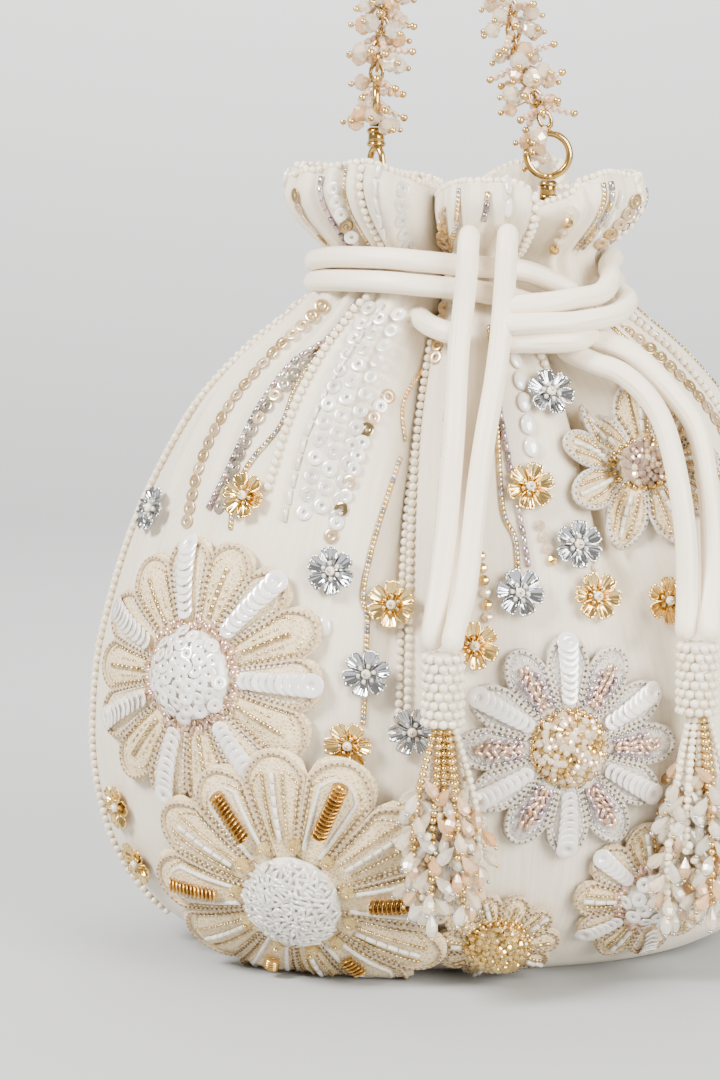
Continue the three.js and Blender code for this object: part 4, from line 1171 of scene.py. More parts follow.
        kind = self.row["heart"]
        base, size, mixes = HEARTS[kind]
        slot = "gold_beads" if kind == "gold beads" else "pearl_beads"
        piece = placed(bent_grid(f"{self.name}_dome", 40, 12, bend), slot, base)
        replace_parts(piece, self.name.replace("flower", "flower_beads"))
        size *= MM
        count = int(DOME_FILL * (self.dome / (size * 0.5)) ** 2)
        i = np.arange(count)
        far = self.dome * 0.97 * np.sqrt((i + 0.5) / count)
        x, y = far * np.cos(i * GOLDEN), far * np.sin(i * GOLDEN)
        step = 0.1 * MM
        place = self.drape.flat(x, y, mound(x, y))
        side = self.drape.flat(x + step, y, mound(x + step, y)) - place
        ahead = self.drape.flat(x, y + step, mound(x, y + step)) - place
        spots = Spots(place, side, np.cross(side, ahead)).turned(self.rng.uniform(0, 360, count))
        if kind == "white cups":
            spots = spots.moved(off=0.7 * MM).tilted(self.rng.uniform(3, 17, count))
            self.trim.add("disc", spots, size, "white sequin")
        elif kind == "white bugles":
            spots = spots.tilted(self.rng.uniform(-4, 20, count))
            self.trim.add("bugle", spots.moved(off=0.5 * MM), mm(3.4, 1.15, 1.1), "clear bugle")
        else:
            pick = self.rng.integers(0, len(mixes), count)
            for k, finish in enumerate(mixes):
                some = spots.kept(pick == k).moved(off=0.5 * MM)
                self.trim.add("stone", some, size * (1.2 if k == 0 else 0.95), finish)
        self.ring(foot)

    def ring(self, foot):
        """The beads round the dome's foot."""
        def round_dome(far, off, turn, heading):
            return self.drape.spots(far * np.cos(turn), far * np.sin(turn), foot + off, heading)

        def turns(count):
            return np.arange(count) * math.tau / count

        finish = self.row["ring"]
        if finish == "rose bugle":
            turn = turns(int(math.tau * self.dome / (0.8 * MM)))
            far = self.dome * self.rng.uniform(1.0, 1.24, len(turn))
            lean = turn + self.rng.uniform(-0.7, 0.7, len(turn))
            spots = round_dome(far, 0.2 * MM, turn, lean).tilted(self.rng.uniform(-20, 20, len(turn)))
            self.trim.add("bugle", spots, mm(2.6, 1.3, 1.3), finish)
        elif finish == "yellow crystal":
            turn = turns(11) + 0.2
            spots = round_dome(self.dome * 1.18, 0.4 * MM, turn, turn)
            self.trim.add("stone", spots, 4.0 * MM, finish)
            self.trim.add("seed", spots.moved(off=2.2 * MM), 1.5 * MM, "gold bead")
        else:
            for far, off in ((self.dome * 1.08, -0.2 * MM), (self.dome, 0.6 * MM)):
                turn = turns(int(math.tau * far / (1.9 * MM)))
                spots = round_dome(far, off, turn, turn + math.pi / 2)
                self.trim.add("seed", spots, 1.9 * MM, finish)


def threads(name, lines, wide, finish, slot):
    """Round threads along many lines, joined into one mesh."""
    curve = bpy.data.curves.new(name, "CURVE")
    curve.dimensions = "3D"
    curve.bevel_depth = wide / 2
    curve.bevel_resolution = 1
    curve.use_fill_caps = True
    for line in lines:
        spline = curve.splines.new("POLY")
        spline.points.add(len(line) - 1)
        spline.points.foreach_set("co", np.concatenate([line, np.ones((len(line), 1))], axis=1).ravel())
    guide = bpy.data.objects.new(name, curve)
    mesh = bpy.data.meshes.new_from_object(guide)
    mesh.name = name
    bpy.data.objects.remove(guide)
    bpy.data.curves.remove(curve)
    mesh.shade_smooth()
    return placed(mesh, slot, finish)


class POTLI_OT_flowers(bpy.types.Operator):
    """Sews on the net flowers with their filled petals and bead domes"""
    bl_idname = "potli.flowers"
    bl_label = "Flowers"

    def execute(self, context):
        pouch = Pouch(context.scene.potli_pouch)
        for number, row in enumerate(FLOWERS, 1):
            flower = Flower(pouch, row, number)
            flower.net()
            flower.petals()
            flower.heart()
            flower.trim.build("pearl_beads")
        return {"FINISHED"}


# Pressed blossoms: degrees round, share of the neck's height, and metal.
BLOSSOMS = table("at height metal", [
    (-42, 0.684, "gold"), (-12, 0.547, "gold"), (-17.5, 0.353, "gold"), (1, 0.492, "gold"),
    (11, 0.705, "gold"), (20.5, 0.556, "gold"), (33, 0.545, "gold"), (-68, 0.226, "gold"),
    (-67, 0.145, "gold"), (-3, 0.2, "gold"),
    (-69, 0.652, "silver"), (-22, 0.589, "silver"), (-15, 0.452, "silver"), (8, 0.563, "silver"),
    (18.3, 0.626, "silver"), (-8, 0.374, "silver"), (18, 0.83, "silver"), (112, 0.68, "gold"),
    (178, 0.62, "silver"),
])


class POTLI_OT_blossoms(bpy.types.Operator):
    """Makes the pressed metal blossoms, each with a pearl on beads in its middle"""
    bl_idname = "potli.blossoms"
    bl_label = "Blossoms"
    THICK = 0.35 * MM
    RING = 2.1 * MM

    def execute(self, context):
        pouch = Pouch(context.scene.potli_pouch)
        wide = context.scene.potli_trim.blossom
        trim = Trim("blossom_pearls")
        for number, row in enumerate(BLOSSOMS, 1):
            self.blossom(pouch, row, f"blossom_{number}", wide, trim)
        trim.build("pearl_beads")
        return {"FINISHED"}

    def blossom(self, pouch, row, name, wide, trim):
        drape = Drape(pouch, row["at"], row["height"], 3 * MM)
        corners = np.array([vert.co for vert in bpy.data.objects[name].data.vertices])
        lift = np.min((corners - drape.middle) @ drape.out)
        petals, twist = 6, math.radians(37 * sum(map(ord, name)) % 60)

        def bend(u, v):
            turn = math.tau * u
            share = np.mod(u * petals + 0.5, 1) * 2 - 1
            edge = 0.34 + 0.66 * np.clip((1 - np.abs(share)) * 2.6, 0, 1) ** 0.6
            far = wide / 2 * v * edge
            ribs = 0.24 * MM * np.cos(share * 4 * math.pi) * np.clip(v * 2.4 - 1.1, 0, 1)
            dish = 1.7 * MM * v ** 2 - 0.7 * MM * (1 - share ** 2) * v + ribs
            return drape.flat(far * np.cos(turn + twist), far * np.sin(turn + twist), lift + 0.5 * MM + dish)

        metal = row["metal"]
        mesh = bent_grid(name + "_metal", petals * 16, 10, bend)
        piece = placed(mesh, metal + "_blossom", metal + " press")
        thicken(piece, self.THICK)
        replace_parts(piece, name)
        turn = np.arange(petals) * math.tau / petals + twist
        off = np.full(petals, lift + 1.3 * MM)
        places = drape.flat(self.RING * np.cos(turn), self.RING * np.sin(turn), off)
        around = Spots(places, np.tile(drape.right, (petals, 1)), np.tile(drape.out, (petals, 1)))
        trim.add("seed", around, 1.4 * MM, "clear bugle" if metal == "silver" else "gold bead")
        middle = Spots([drape.flat(0, 0, lift + 1.7 * MM)], [drape.right], [drape.out])
        trim.add("pearl", middle, 2.6 * MM, "pearl")
        trim.add("seed", middle.moved(off=1.3 * MM), 1.1 * MM, metal + " bead")


# Strands of the drawstring that lie on the gathers, as degrees, share of the neck's height and layer, and the
# hanging tails as points in millimetres. The tails have the points of the part's source. The strands follow
# its strands, drawn closer into the cloth at the sides, with their ends tucked behind each other.
STRANDS = {
    "cord_wrap_upper": [
        (222.5, 0.988, -1.3), (236, 0.993, -0.6), (262, 0.998, -0.6), (284, 1.005, -0.35), (305, 1.012, -0.1),
        (329, 1.013, 0), (344, 1.009, 0), (360, 1.003, 0), (380, 0.996, 0), (391, 0.979, 0), (398, 0.96, 0)],
    "cord_wrap_lower": [
        (222.5, 0.956, -1.5), (236, 0.963, -0.95), (262, 0.968, -0.95), (284, 0.974, -0.6), (305, 0.979, -0.2),
        (329, 0.98, 0), (344, 0.976, 0), (360, 0.97, 0), (373, 0.96, 0), (383, 0.945, 0)],
    "cord_cross_upper": [
        (8.5, 0.95, 0.85), (12.6, 0.951, 0.95), (21, 0.954, 1.1), (29, 0.959, 1.1), (39, 0.965, 1),
        (52, 0.985, 0.6), (66, 1.003, 0), (95, 1.008, -0.4), (130, 1.011, -0.2), (163, 1.008, 0),
        (176, 0.997, -1.1)],
    "cord_cross_lower": [
        (8.5, 0.924, 0.7), (12.6, 0.926, 0.8), (20, 0.927, 0.9), (25, 0.927, 0.9), (31, 0.93, 0.9),
        (40, 0.936, 0.8), (52, 0.952, 0.5), (66, 0.969, -0.3), (95, 0.976, -0.6), (130, 0.978, -0.3),
        (163, 0.975, 0), (176, 0.963, -1.1)],
    "cord_loop_end": [(8, 0.9, 0), (13, 0.9, 0.1), (19, 0.9, 0.35), (25, 0.901, 0.45), (30, 0.907, 0.3),
                      (34, 0.918, 0)],
    "cord_bridge": [(-27, 0.944, -3.2), (-20, 0.936, -2), (-14, 0.927, -1), (-9, 0.919, -0.3), (-4, 0.912, 0),
                    (0, 0.908, 0)],
}
TAILS = {
    "cord_tail_left_a": [(0.9, -41.2, 200.4), (0.3, -45.8, 196), (-0.2, -47, 188), (-1, -47.6, 180),
                         (-2.2, -50.2, 170), (-2.9, -54, 160), (-3.6, -58.6, 148), (-4.8, -62.8, 134),
                         (-6, -67, 121), (-7.8, -71.4, 108), (-9.4, -76.3, 98.2), (-9.4, -76.4, 93.8)],
    "cord_tail_left_b": [(10.9, -41.2, 200.8), (10.5, -45.8, 196.4), (10, -47.1, 188), (9.4, -47.8, 180),
                         (8.4, -50.4, 170), (6.9, -54.2, 160), (4.6, -58.8, 148), (2.4, -63.2, 134),
                         (0.9, -67.6, 121), (-1, -73, 108), (-4.2, -80.9, 98.2), (-4.2, -81, 93.8)],
    "cord_tail_right_a": [(25.5, -36.3, 168.8), (29, -41.3, 167.2), (34, -43.6, 165.2), (40.9, -46.2, 162.6),
                          (47.7, -48.8, 156.3), (52, -52.4, 148), (55, -57.4, 134.5), (56.8, -60.2, 120),
                          (57, -62.5, 106.5), (56.6, -65, 98.5), (56.6, -65.2, 94.8)],
    "cord_tail_right_b": [(32.2, -38.2, 171.4), (38.5, -40.8, 170.2), (46.5, -41.6, 165.5), (55.4, -43.4, 156),
                          (60.9, -46.2, 147.3), (63.2, -51.5, 133.6), (63.9, -56, 119.8), (63.6, -61.5, 106.2),
                          (62.6, -67.6, 98.5), (62.6, -68, 94.8)],
}


def strand_point(pouch, cord, at, height, layer):
    """The point of a strand's middle at a height, off the gathers by its layer."""
    middle = height * pouch.size.neck_height
    off = cord.wide / 2 + cord.gap + layer * (cord.wide + cord.gap)
    levels = np.linspace(pouch.level_at(middle - 2 * cord.wide), pouch.level_at(middle + 2 * cord.wide), 60)
    spots = pouch.off(np.full(60, at), levels, np.full(60, off))
    return [np.interp(middle, spots[:, 2], spots[:, k]) for k in range(3)]


def cord_routes(pouch, cord):
    """The middle of every strand and hanging tail, by name."""
    routes = {}
    for name, rows in STRANDS.items():
        run = smooth_path(rows, len(rows) * 5)
        routes[name] = np.array([strand_point(pouch, cord, *row) for row in run])
    for name, rows in TAILS.items():
        routes[name] = smooth_path(np.array(rows) * MM, 60)
    return routes


class POTLI_OT_drawstring(bpy.types.Operator):
    """Lays the fabric drawstring round the neck and hangs its tails"""
    bl_idname = "potli.drawstring"
    bl_label = "Drawstring"

    def execute(self, context):
        pouch, cord = Pouch(context.scene.potli_pouch), context.scene.potli_cord
        for name, route in cord_routes(pouch, cord).items():
            piece = placed(swept(name + "_silk", route, cord.wide, 14), "drawstring", "cord silk")
            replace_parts(piece, name)
            if name in TAILS:
                self.declare(piece, route, cord.wide)
        return {"FINISHED"}

    def declare(self, piece, route, wide):
        length = float(distances(route)[-1])
        side = "left" if "left" in piece.name else "right"


class POTLI_OT_tassels(bpy.types.Operator):
    """Winds the pearl heads of the tassels and strings their bead fringes"""
    bl_idname = "potli.tassels"
    bl_label = "Tassels"
    ROWS = 8
    STRINGS = 15

    def execute(self, context):
        for side in ("left", "right"):
            self.head(side)
            self.fringe(side, side == "right")
        return {"FINISHED"}

    def head(self, side):
        low, high, middle = node_box(f"tassel_head_{side}")
        radius, tall = (high[0] - low[0]) / 2, high[2] - low[2]
        pearl = tall / self.ROWS
        trim = Trim(f"tassel_head_{side}_pearls")
        count = int(math.tau * (radius - pearl / 2) / pearl)
        for row in range(self.ROWS):
            turn = (np.arange(count) + 0.5 * (row % 2)) * math.tau / count
            out = np.stack([np.cos(turn), np.sin(turn), 0 * turn], axis=1)
            place = middle + out * (radius - pearl / 2)
            place[:, 2] = low[2] + pearl * (row + 0.5)
            trim.add("pearl", Spots(place, np.tile(UP, (count, 1)), out), pearl * 1.02, "pearl")
        core = Spots([middle], [UP], [BACK])
        trim.add("bugle", core, (tall * 0.99, radius * 1.6, radius * 1.6), "white seed")
        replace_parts(trim.build("pearl_beads"), f"tassel_head_{side}")

    def fringe(self, side, pearly):
        low, high, middle = node_box(f"tassel_fringe_{side}")
        top = np.array([*middle[:2], high[2]])
        spread, fall = (high[0] - low[0]) / 2, high[2] - low[2]
        trim = Trim(f"tassel_fringe_{side}_beads")
        rng = np.random.default_rng(SEED + len(side))
        for i in range(self.STRINGS):
            far = math.sqrt((i + 0.5) / self.STRINGS)
            self.string(trim, rng, top, i * GOLDEN, far, spread, fall, i % 5 < 3 - pearly)
        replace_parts(trim.build("gold_beads"), f"tassel_fringe_{side}")

    def string(self, trim, rng, top, turn, far, spread, fall, golden):
        """One string of the fringe: seed beads above, then drops that branch off it down to its end."""
        length = fall * rng.uniform(0.55, 0.88)
        part = np.linspace(0, 1, 12)
        reach = far * (2.8 * MM + (spread - 3.5 * MM) * np.sin(np.minimum(part * 1.7, math.pi / 2)))
        out = np.array([math.cos(turn), math.sin(turn), 0.0])
        line = top + out * reach[:, None] + DOWN * (part * length)[:, None]
        outs = np.tile(out, (12, 1))
        seeds = spots_on_path(line, outs, 1.9 * MM)
        trim.add("seed" if golden else "pearl", seeds, 2.1 * MM, "gold bead" if golden else "pearl")
        bare = int(len(seeds.place) * rng.uniform(0.3, 0.42))
        for k in range(bare, len(seeds.place)):
            last = k == len(seeds.place) - 1
            around, lean = k * GOLDEN + turn, 0.05 if last else rng.uniform(0.4, 0.95)
            flat = math.sin(lean)
            away = np.array([math.cos(around) * flat, math.sin(around) * flat, -math.cos(lean)])
            spot = Spots([seeds.place[k] + away * 4.4 * MM], [-away], [np.cross(away, [0.3, 0.9, 0.1])])
            kind = rng.uniform()
            if kind < 0.22:
                trim.add("drop", spot, mm(5.8, 4.4, 4.4), "peach crystal")
            elif kind < 0.36:
                trim.add("pearl", spot.moved(ahead=1.4 * MM), mm(2.4, 2.2, 2.2), "pearl")
            else:
                trim.add("drop", spot, mm(6.4, 4.6, 4.6), "clear crystal")
            if kind < 0.22 or kind >= 0.36:
                finish = "silver bead" if kind > 0.5 else "gold bead"
                trim.add("pearl", spot.moved(ahead=-3.5 * MM), 1.2 * MM, finish)


# The handle's chain from the left ring over the arch to the right ring, in millimetres, as in the source.
HANDLE_ROUTE = [
    (-22.4, 0, 251), (-21, -0.4, 266), (-19, -1, 292), (-17.6, -1, 318), (-16.4, -0.4, 342), (-12.6, 0, 360),
    (-5.8, 0, 368), (1.2, 0, 361), (5.2, 0.6, 343), (7, 1, 318), (9.4, 0.6, 292), (12.4, 0, 264),
    (15.4, 0, 246),
]


class POTLI_OT_handle(bpy.types.Operator):
    """Makes the chain handle with its crystal, seed bead and ball pin drops"""
    bl_idname = "potli.handle"
    bl_label = "Handle"
    DROPS_PER_LINK = 4
    # The cuffs of drops over the rings: length, and the first and last way they point.
    CUFFS = {"left": (13 * MM, 0, math.tau), "right": (8 * MM, 0.6, 2.9)}
    CUFF_PITCH = 0.75 * MM
    CUFF_REACH = 0.8
    CUFF_STEP = 0.618

    def execute(self, context):
        handle = context.scene.potli_handle
        tops = {side: self.ring_top(side) for side in self.CUFFS}
        route = smooth_path([tops["left"], *(np.array(HANDLE_ROUTE) * MM), tops["right"]], 240)
        outs = np.tile(FRONT, (len(route), 1))
        links = spots_on_path(route, outs, handle.pitch, start=0.2)
        chain = Trim("handle_chain")
        turns = np.arange(len(links.place)) % 2 * 90
        chain.add("link", links.rolled(turns), mm(5.0, 3.4, 3.4), "brass")
        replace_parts(chain.build("gold_metal"), "handle")
        drops = Trim("handle_drops")
        for i in range(1, len(links.place) - 1):
            for k in range(self.DROPS_PER_LINK):
                self.drop(drops, links, i, (self.DROPS_PER_LINK * i + k) * GOLDEN, handle.reach)
        for side, (fall, low, high) in self.CUFFS.items():
            count = int(fall / self.CUFF_PITCH)
            places = np.tile(tops[side], (count, 1)) - np.linspace([0, 0, 0], [0, 0, fall], count)
            cuff = Spots(places, np.tile(UP, (count, 1)), np.tile(FRONT, (count, 1)))
            for i in range(count):
                turn = low + (high - low) * (i * self.CUFF_STEP % 1)
                self.drop(drops, cuff, i, turn, handle.reach * self.CUFF_REACH)
        drops.build("crystal")
        return {"FINISHED"}

    def ring_top(self, side):
        _, high, middle = node_box(f"swivel_ring_{side}")
        return [*middle[:2], high[2] + 0.5 * MM]

    def drop(self, trim, links, i, turn, reach):
        """A pin that stands off the chain: seed beads, a crystal and a ball at its end."""
        along, out = links.along[i], links.out[i]
        away = out * math.cos(turn) + np.cross(out, along) * math.sin(turn)
        rng = trim.rng
        lean = unit(away + along * rng.uniform(-0.45, 0.45) + np.array([0, 0, -0.35]))
        long = reach * rng.uniform(0.55, 0.95)
        start = links.place[i] + away * 1.2 * MM
        spot = Spots([start], [lean], [np.cross(lean, along)])
        kind = rng.integers(0, 5)
        trim.add("bugle", spot.moved(ahead=long / 2), (long, 0.5 * MM, 0.5 * MM), "gold bead")
        if kind < 3:
            trim.add("seed", spot.moved(ahead=0.9 * MM), 1.9 * MM, "pink seed")
            big = (4.2 + 1.4 * rng.uniform()) * MM
            finish = ("peach crystal", "clear crystal", "champagne crystal")[kind]
            trim.add("stone", spot.moved(ahead=long - big * 0.4), (big * 0.9, big, big), finish)
            trim.add("pearl", spot.moved(ahead=long + big * 0.22), 1.7 * MM, "gold bead")
        else:
            for k in range(int(long / (1.9 * MM))):
                trim.add("seed", spot.moved(ahead=(0.9 + 1.9 * k) * MM), 2.0 * MM, "pink seed")
            trim.add("pearl", spot.moved(ahead=long + 0.6 * MM), 2.2 * MM, "gold bead")


class POTLI_OT_hooks(bpy.types.Operator):
    """Makes the swivel rings and the snap hooks, and gives the cloth loops that hold them their satin finish
    """
    bl_idname = "potli.hooks"
    bl_label = "Hooks"
    RING_WIDE = 13.7 * MM
    RING_WIRE = 2.0 * MM
    BARREL_WIDE = 5.4 * MM
    BARREL_TALL = 5.5 * MM
    HOOK_WIRE = 1.9 * MM
    HOOK_REACH = 2.75 * MM
    AROUND = np.linspace(0, math.tau, 48, endpoint=False)

    def execute(self, context):
        for side, turn in (("left", 90), ("right", 0)):
            self.ring(side, math.radians(turn))
            self.hook(side)
            self.loop(side)
        return {"FINISHED"}

    def upright(self, middle, across, up, turn):
        """Points of a wire loop that stands on edge, turned about the vertical."""
        x, y = middle[0] + across * math.cos(turn), middle[1] + across * math.sin(turn)
        return np.stack([x, y, up], axis=1)

    def wire(self, node, points, wide, sides):
        piece = placed(swept(node + "_wire", points, wide, sides, closed=True), "gold_metal", "brass")
        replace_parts(piece, node)

    def ring(self, side, turn):
        low, high, middle = node_box(f"swivel_ring_{side}")
        reach = (self.RING_WIDE - self.RING_WIRE) / 2
        up = high[2] - self.RING_WIDE / 2 + reach * np.sin(self.AROUND)
        points = self.upright(middle, reach * np.cos(self.AROUND), up, turn)
        self.wire(f"swivel_ring_{side}", points, self.RING_WIRE, 12)
        collar = Trim(f"swivel_collar_{side}")
        foot = Spots([(middle[0], middle[1], low[2] + 0.7 * MM)], [UP], [BACK])
        collar.add("bugle", foot, mm(1.6, 3.9, 3.9), "brass")
        collar.build("gold_metal")

    def hook(self, side):
        low, high, middle = node_box(f"snap_hook_{side}")
        trim = Trim(f"snap_barrel_{side}")
        top = Spots([(middle[0], middle[1], high[2] - self.BARREL_TALL / 2)], [UP], [BACK])
        neck = self.BARREL_WIDE * 0.86
        trim.add("bugle", top, (self.BARREL_TALL, neck, neck), "brass")
        for share in (-0.32, 0.32):
            collar = top.moved(ahead=share * self.BARREL_TALL)
            trim.add("bugle", collar, (1.1 * MM, self.BARREL_WIDE, self.BARREL_WIDE), "brass")
        trim.build("gold_metal")
        spread = high - low
        turn = math.atan2(spread[1], -spread[0] if side == "left" else spread[0])
        foot = low[2] + self.HOOK_WIRE / 2
        tall = (high[2] - self.BARREL_TALL + self.HOOK_WIRE / 2 - low[2]) / 2 - self.HOOK_WIRE / 2
        across = self.HOOK_REACH * np.cos(self.AROUND) * (1 + 0.25 * np.sin(self.AROUND))
        points = self.upright(middle, across, foot + tall + tall * np.sin(self.AROUND), turn)
        self.wire(f"snap_hook_{side}", points, self.HOOK_WIRE, 10)

    def loop(self, side):
        finishes = bpy.data.objects[f"hook_loop_{side}"].data.materials
        finishes.clear()
        finishes.append(material("loop satin"))


# Stripes of beadwork that run up the cloth. Each row of a stripe is the degrees round and the height, as a
# share of the neck's. Heights over 1 are in the ruffle, before the rim's dips shorten it.
STRIPES = table("kind rows", [
    ("pearl pair", [(-83, 0.05), (-83, 0.34), (-83, 0.6), (-82, 0.84), (-79, 0.97)]),
    ("gold sequins", [(-55, 0.95), (-55, 0.92), (-59, 0.75), (-56, 0.64)]),
    ("lilac bugles", [(-40, 0.95), (-42, 0.905), (-47, 0.85), (-50, 0.75), (-52, 0.66)]),
    ("grey sequins", [(-39, 0.91), (-44, 0.85), (-48, 0.75), (-49, 0.65)]),
    ("gold wire", [(-38, 0.95), (-42, 0.85), (-40, 0.79), (-44, 0.74), (-46, 0.69), (-44, 0.64)]),
    ("pearls", [(-36, 0.96), (-38, 0.92), (-38, 0.8), (-38, 0.68)]),
    ("clear bugles", [(-28, 0.95), (-30, 0.895), (-33, 0.77), (-33, 0.66)]),
    ("clear field", [(-27, 0.95), (-26, 0.8), (-26, 0.66)]),
    ("mixed sequins", [(-20, 0.83), (-21, 0.785), (-22, 0.695), (-24, 0.616), (-26, 0.58)]),
    ("edge", [(-20, 0.95), (-18, 0.895), (-19, 0.82), (-18, 0.76)]),
    ("gold wire", [(-18, 0.74), (-18, 0.57), (-17, 0.52), (-16, 0.41), (-16, 0.32)]),
    ("pearl pair", [(-12, 0.9), (-12, 0.78), (-11, 0.63), (-10, 0.5), (-9.5, 0.37)]),
    ("ovals", [(-22.5, 0.53), (-22, 0.42), (-21, 0.34)]),
    ("clear bugles", [(-14, 0.7), (-13, 0.61)]),
    ("clear bugles", [(-4, 0.9), (-5, 0.68), (-6, 0.56), (-7, 0.47)]),
    ("gold sequins", [(-8, 0.95), (-9, 0.9), (-9, 0.86)]),
    ("gold wire", [(-4, 0.95), (-4, 0.9), (-3, 0.84)]),
    ("crystals", [(2, 0.62), (3, 0.55), (3, 0.49), (2, 0.44)]),
    ("gold wire", [(7, 0.92), (6, 0.82), (6, 0.68), (8, 0.63), (8, 0.54)]),
    ("lilac bugles", [(6, 0.86), (7, 0.78), (9, 0.66), (10, 0.59)]),
    ("ovals", [(12, 0.94), (12, 0.78), (13, 0.7)]),
    ("crystals", [(12, 0.66), (14, 0.6)]),
    ("pearls", [(18, 0.92), (20, 0.82), (24, 0.7), (22, 0.59), (21, 0.52)]),
    ("clear bugles", [(27, 0.92), (27, 0.8), (27, 0.6)]),
    ("silver bugles", [(39, 0.94), (44, 0.84), (47, 0.7)]),
    ("gold wire", [(46, 0.94), (52, 0.82), (55, 0.66), (55, 0.52)]),
    ("gold sequins", [(55, 0.94), (61, 0.82), (63, 0.66), (62, 0.56)]),
    ("pearls", [(63, 0.95), (68, 0.8), (70, 0.64), (70, 0.2)]),
    ("gold sequins", [(-62, 1.02), (-61, 1.07), (-60, 1.13)]),
    ("lilac bugles", [(-52, 1.02), (-50, 1.07), (-50, 1.14)]),
    ("mixed sequins", [(-45, 1.02), (-44, 1.08), (-44, 1.14)]),
    ("gold wire", [(-39, 1.02), (-39.5, 1.07), (-39, 1.15)]),
    ("pearls", [(-35, 1.02), (-33, 1.08), (-33, 1.15)]),
    ("clear bugles", [(-30, 1.02), (-28, 1.08), (-27, 1.15)]),
    ("clear sequins", [(-24, 1.02), (-23, 1.08), (-22, 1.15)]),
    ("gold sequins", [(-10, 1.02), (-9, 1.07), (-8, 1.13)]),
    ("gold wire", [(-7, 1.02), (-4, 1.07), (-2.5, 1.14)]),
    ("silver bugles", [(0, 1.02), (4, 1.07), (6.4, 1.14)]),
    ("ovals", [(13, 1.03), (13, 1.08), (13, 1.15)]),
    ("pearl pair", [(24, 1.02), (22, 1.07), (21, 1.15)]),
    ("crystals", [(38, 1.03), (37, 1.08), (37, 1.14)]),
    ("gold wire", [(46, 1.03), (45, 1.08), (45, 1.14)]),
    ("silver bugles", [(49, 1.03), (48, 1.08), (48, 1.14)]),
    ("ovals", [(56, 1.04), (55, 1.09), (55, 1.14)]),
    ("gold sequins", [(64, 1.03), (64, 1.08), (65, 1.13)]),
    ("pearl pair", [(89, 1.03), (88, 1.1), (88, 1.15)]),
])
# How each kind of stripe is sewn: shape, finishes to pick from, pitch, size, and its rows' places off the
# middle of the stripe, in millimetres.
KINDS = {
    "pearls": ("pearl", ["pearl"], 2.25, (2.2, 2.2, 2.2), [0]),
    "pearl pair": ("pearl", ["pearl"], 2.25, (2.2, 2.2, 2.2), [-1.2, 1.2]),
    "gold sequins": ("flat", ["gold sequin", "champagne sequin", "champagne sequin"], 3.7, (4.1,) * 3, [0]),
    "mixed sequins": ("flat", ["champagne sequin", "dark gold sequin", "white sequin"], 3.7, (4.1,) * 3, [0]),
    "grey sequins": ("flat", ["grey sequin", "champagne sequin", "grey sequin"], 3.7, (4.1,) * 3, [0]),
    "clear sequins": ("flat", ["clear sequin"], 4.4, (4.4,) * 3, [0]),
    "clear field": ("flat", ["clear sequin", "clear sequin", "white sequin"], 4.9, (4.4,) * 3, [-4.5, 0, 4.5]),
    "silver bugles": ("bugle", ["silver bugle", "gold bit", "silver bugle"], 2.7, (2.5, 1.5, 1.5), [0]),
    "lilac bugles": ("bugle", ["lilac bugle", "lilac bugle", "silver bugle"], 2.8, (2.6, 1.6, 1.5), [0]),
    "clear bugles": ("bugle", ["clear bugle"], 4.7, (4.1, 1.3, 1.3), [0]),
    "gold wire": ("bugle", ["gold bit", "gold bead", "gold bit", "silver bugle"], 1.25, (1.3, 1.5, 0.9), [0]),
    "edge": ("bugle", ["orange accent", "gold bit"], 1.3, (1.4, 1.1, 0.9), [0]),
    "ovals": ("pearl", ["white sequin"], 6.1, (5.8, 4.2, 1.6), [0]),
    "crystals": ("stone", ["champagne crystal", "gold bead", "champagne crystal"], 3.2, (2.9, 2.9, 2.6), [0]),
}
# The kinds that the sides and the back take in turn.
HIDDEN_KINDS = [
    "gold sequins", "pearls", "lilac bugles", "gold wire", "clear bugles", "clear sequins", "pearl pair",
    "silver bugles", "ovals", "crystals",
]
# How far beads stay off the middle of a blossom, and off the edges of flowers and cords, in millimetres.
BLOSSOM_ROOM = 6.4
FLOWER_ROOM = 1.2
CORD_ROOM = 1.5


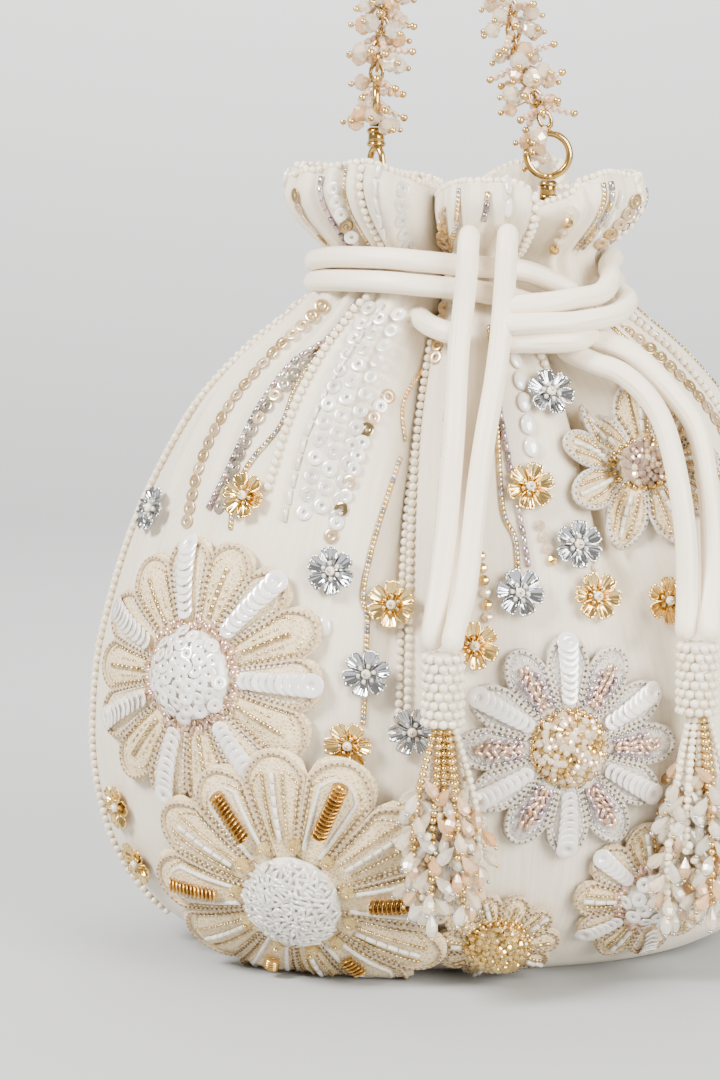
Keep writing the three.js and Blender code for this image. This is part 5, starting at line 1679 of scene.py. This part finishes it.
class POTLI_OT_embroidery(bpy.types.Operator):
    """Sews the stripes of pearls, sequins and bugle beads on the cloth and the pearl edge on the rim"""
    bl_idname = "potli.embroidery"
    bl_label = "Embroidery"

    def execute(self, context):
        self.pouch = Pouch(context.scene.potli_pouch)
        self.neck = self.pouch.size.neck_height
        self.trims = {name: Trim(f"stripes_{name}") for name in ("front", "left", "back", "right")}
        self.find_hidden(context.scene.potli_cord)
        for row in STRIPES:
            self.sew(row["kind"], row["rows"])
        self.sew_hidden_sides()
        self.rim()
        for trim in self.trims.values():
            trim.build("pearl_beads")
        return {"FINISHED"}

    def find_hidden(self, cord):
        """Where flowers, blossoms and cords lie on the cloth, so that no bead is sewn under them."""
        centres, reaches = [], []
        for row in FLOWERS + BLOSSOMS:
            level = self.pouch.level_at(row["height"] * self.neck)
            centres.append(self.pouch.point(row["at"], level, False))
            reaches.append((row["radius"] * 0.98 + FLOWER_ROOM if "radius" in row else BLOSSOM_ROOM) * MM)
        cords = np.concatenate(list(cord_routes(self.pouch, cord).values()))
        self.centres = np.concatenate([centres, cords])
        self.reaches = np.concatenate([reaches, np.full(len(cords), cord.wide / 2 + CORD_ROOM * MM)])

    def bare(self, places):
        away = np.linalg.norm(places[:, None] - self.centres[None], axis=2)
        return np.all(away > self.reaches[None], axis=1)

    def sew(self, kind, rows):
        shape, finishes, pitch, size, sides = KINDS[kind]
        run = smooth_path(np.array(rows, float), 160)
        levels = self.pouch.level_at(run[:, 1] * self.neck)
        places = self.pouch.point(run[:, 0], levels)
        outs = self.pouch.slopes(run[:, 0], levels)[2]
        for k, across in enumerate(sides):
            spots = spots_on_path(places, outs, pitch * MM, start=0.5 + 0.5 * (k % 2))
            spots = self.settled(spots, across)
            middle = float(np.mean(run[:, 0]) % 360)
            trim = self.trims[("front", "right", "back", "left")[int((middle + 75) % 360 // 90)]]
            bare = self.bare(spots.place)
            turn = trim.rng.integers(0, len(finishes), len(spots.place))
            for n, finish in enumerate(finishes):
                some = spots.kept(bare & (turn == n))
                count = len(some.place)
                flat = shape == "flat"
                lift = 0.35 * MM if flat else size[2] * 0.4 * MM
                some = some.moved(off=lift).tilted(trim.rng.uniform(-9, 9, count) if flat else 0)
                some = some.turned(trim.rng.uniform(-7, 7, count))
                trim.add(shape, some, np.array(size) * MM, finish)

    def settled(self, spots, across):
        """Moves spots sideways along the cloth, and keeps them on it."""
        if across == 0:
            return spots
        moved = spots.moved(side=across * MM)
        return Spots(moved.place - moved.out * 0.12 * abs(across) * MM, moved.along, moved.out)

    def sew_hidden_sides(self):
        """The sides and the back take ten of the kinds in turn, a few degrees apart."""
        rng = np.random.default_rng(SEED)
        at, n = 76.0, 0
        while at < 272:
            near = min(abs(degrees_from(at, pleat["at"])) for pleat in PLEATS)
            kind = HIDDEN_KINDS[n % len(HIDDEN_KINDS)]
            foot = rng.uniform(0.42, 0.68) if n % 4 else rng.uniform(0.2, 0.4)
            if near > 3.5:
                sway = rng.uniform(-1.5, 1.5)
                self.sew(kind, [(at, 0.94), (at + sway, (0.94 + foot) / 2), (at + sway * 0.5, foot)])
                if near > 7:
                    self.sew(kind, [(at, 1.03), (at, 1.08), (at, 1.14)])
            at += rng.uniform(5.2, 7.5)
            n += 1

    def rim(self):
        at = np.linspace(0, 360, 1441)
        top = np.full(len(at), float(self.pouch.top))
        places = self.pouch.point(at, top)
        middle = (places + self.pouch.point(at, top, inset=self.pouch.size.cloth)) / 2
        middle[:, 2] = places[:, 2] + 0.5 * MM
        spots = spots_on_path(middle, np.tile(UP, (len(at), 1)), 2.0 * MM)
        self.trims["front"].add("pearl", spots, 2.05 * MM, "pearl")


class POTLI_PT_panel(bpy.types.Panel):
    """Lists the steps that build the bag"""
    bl_idname = "POTLI_PT_panel"
    bl_label = "Potli bag"
    bl_space_type = "VIEW_3D"
    bl_region_type = "UI"
    bl_category = "Potli bag"

    def draw(self, context):
        for step in STEPS:
            self.layout.operator(step.bl_idname)


STEPS = [
    POTLI_OT_stage, POTLI_OT_pouch, POTLI_OT_embroidery, POTLI_OT_flowers, POTLI_OT_blossoms, POTLI_OT_tassels,
    POTLI_OT_drawstring, POTLI_OT_handle, POTLI_OT_hooks,
]
GROUPS = {
    "potli_pouch": PotliPouch, "potli_trim": PotliTrim, "potli_cord": PotliCord, "potli_handle": PotliHandle,
    "potli_stage": PotliStage,
}


def register():
    for group in GROUPS.values():
        bpy.utils.register_class(group)
    for key, group in GROUPS.items():
        setattr(bpy.types.Scene, key, bpy.props.PointerProperty(type=group))
    for step in (*STEPS, POTLI_PT_panel):
        bpy.utils.register_class(step)


def unregister():
    for step in (POTLI_PT_panel, *reversed(STEPS)):
        bpy.utils.unregister_class(step)
    for key, group in GROUPS.items():
        delattr(bpy.types.Scene, key)
        bpy.utils.unregister_class(group)


def main():
    register()
    for step in STEPS:
        group, name = step.bl_idname.split(".")
        getattr(getattr(bpy.ops, group), name)()


if __name__ == "__main__":
    main()
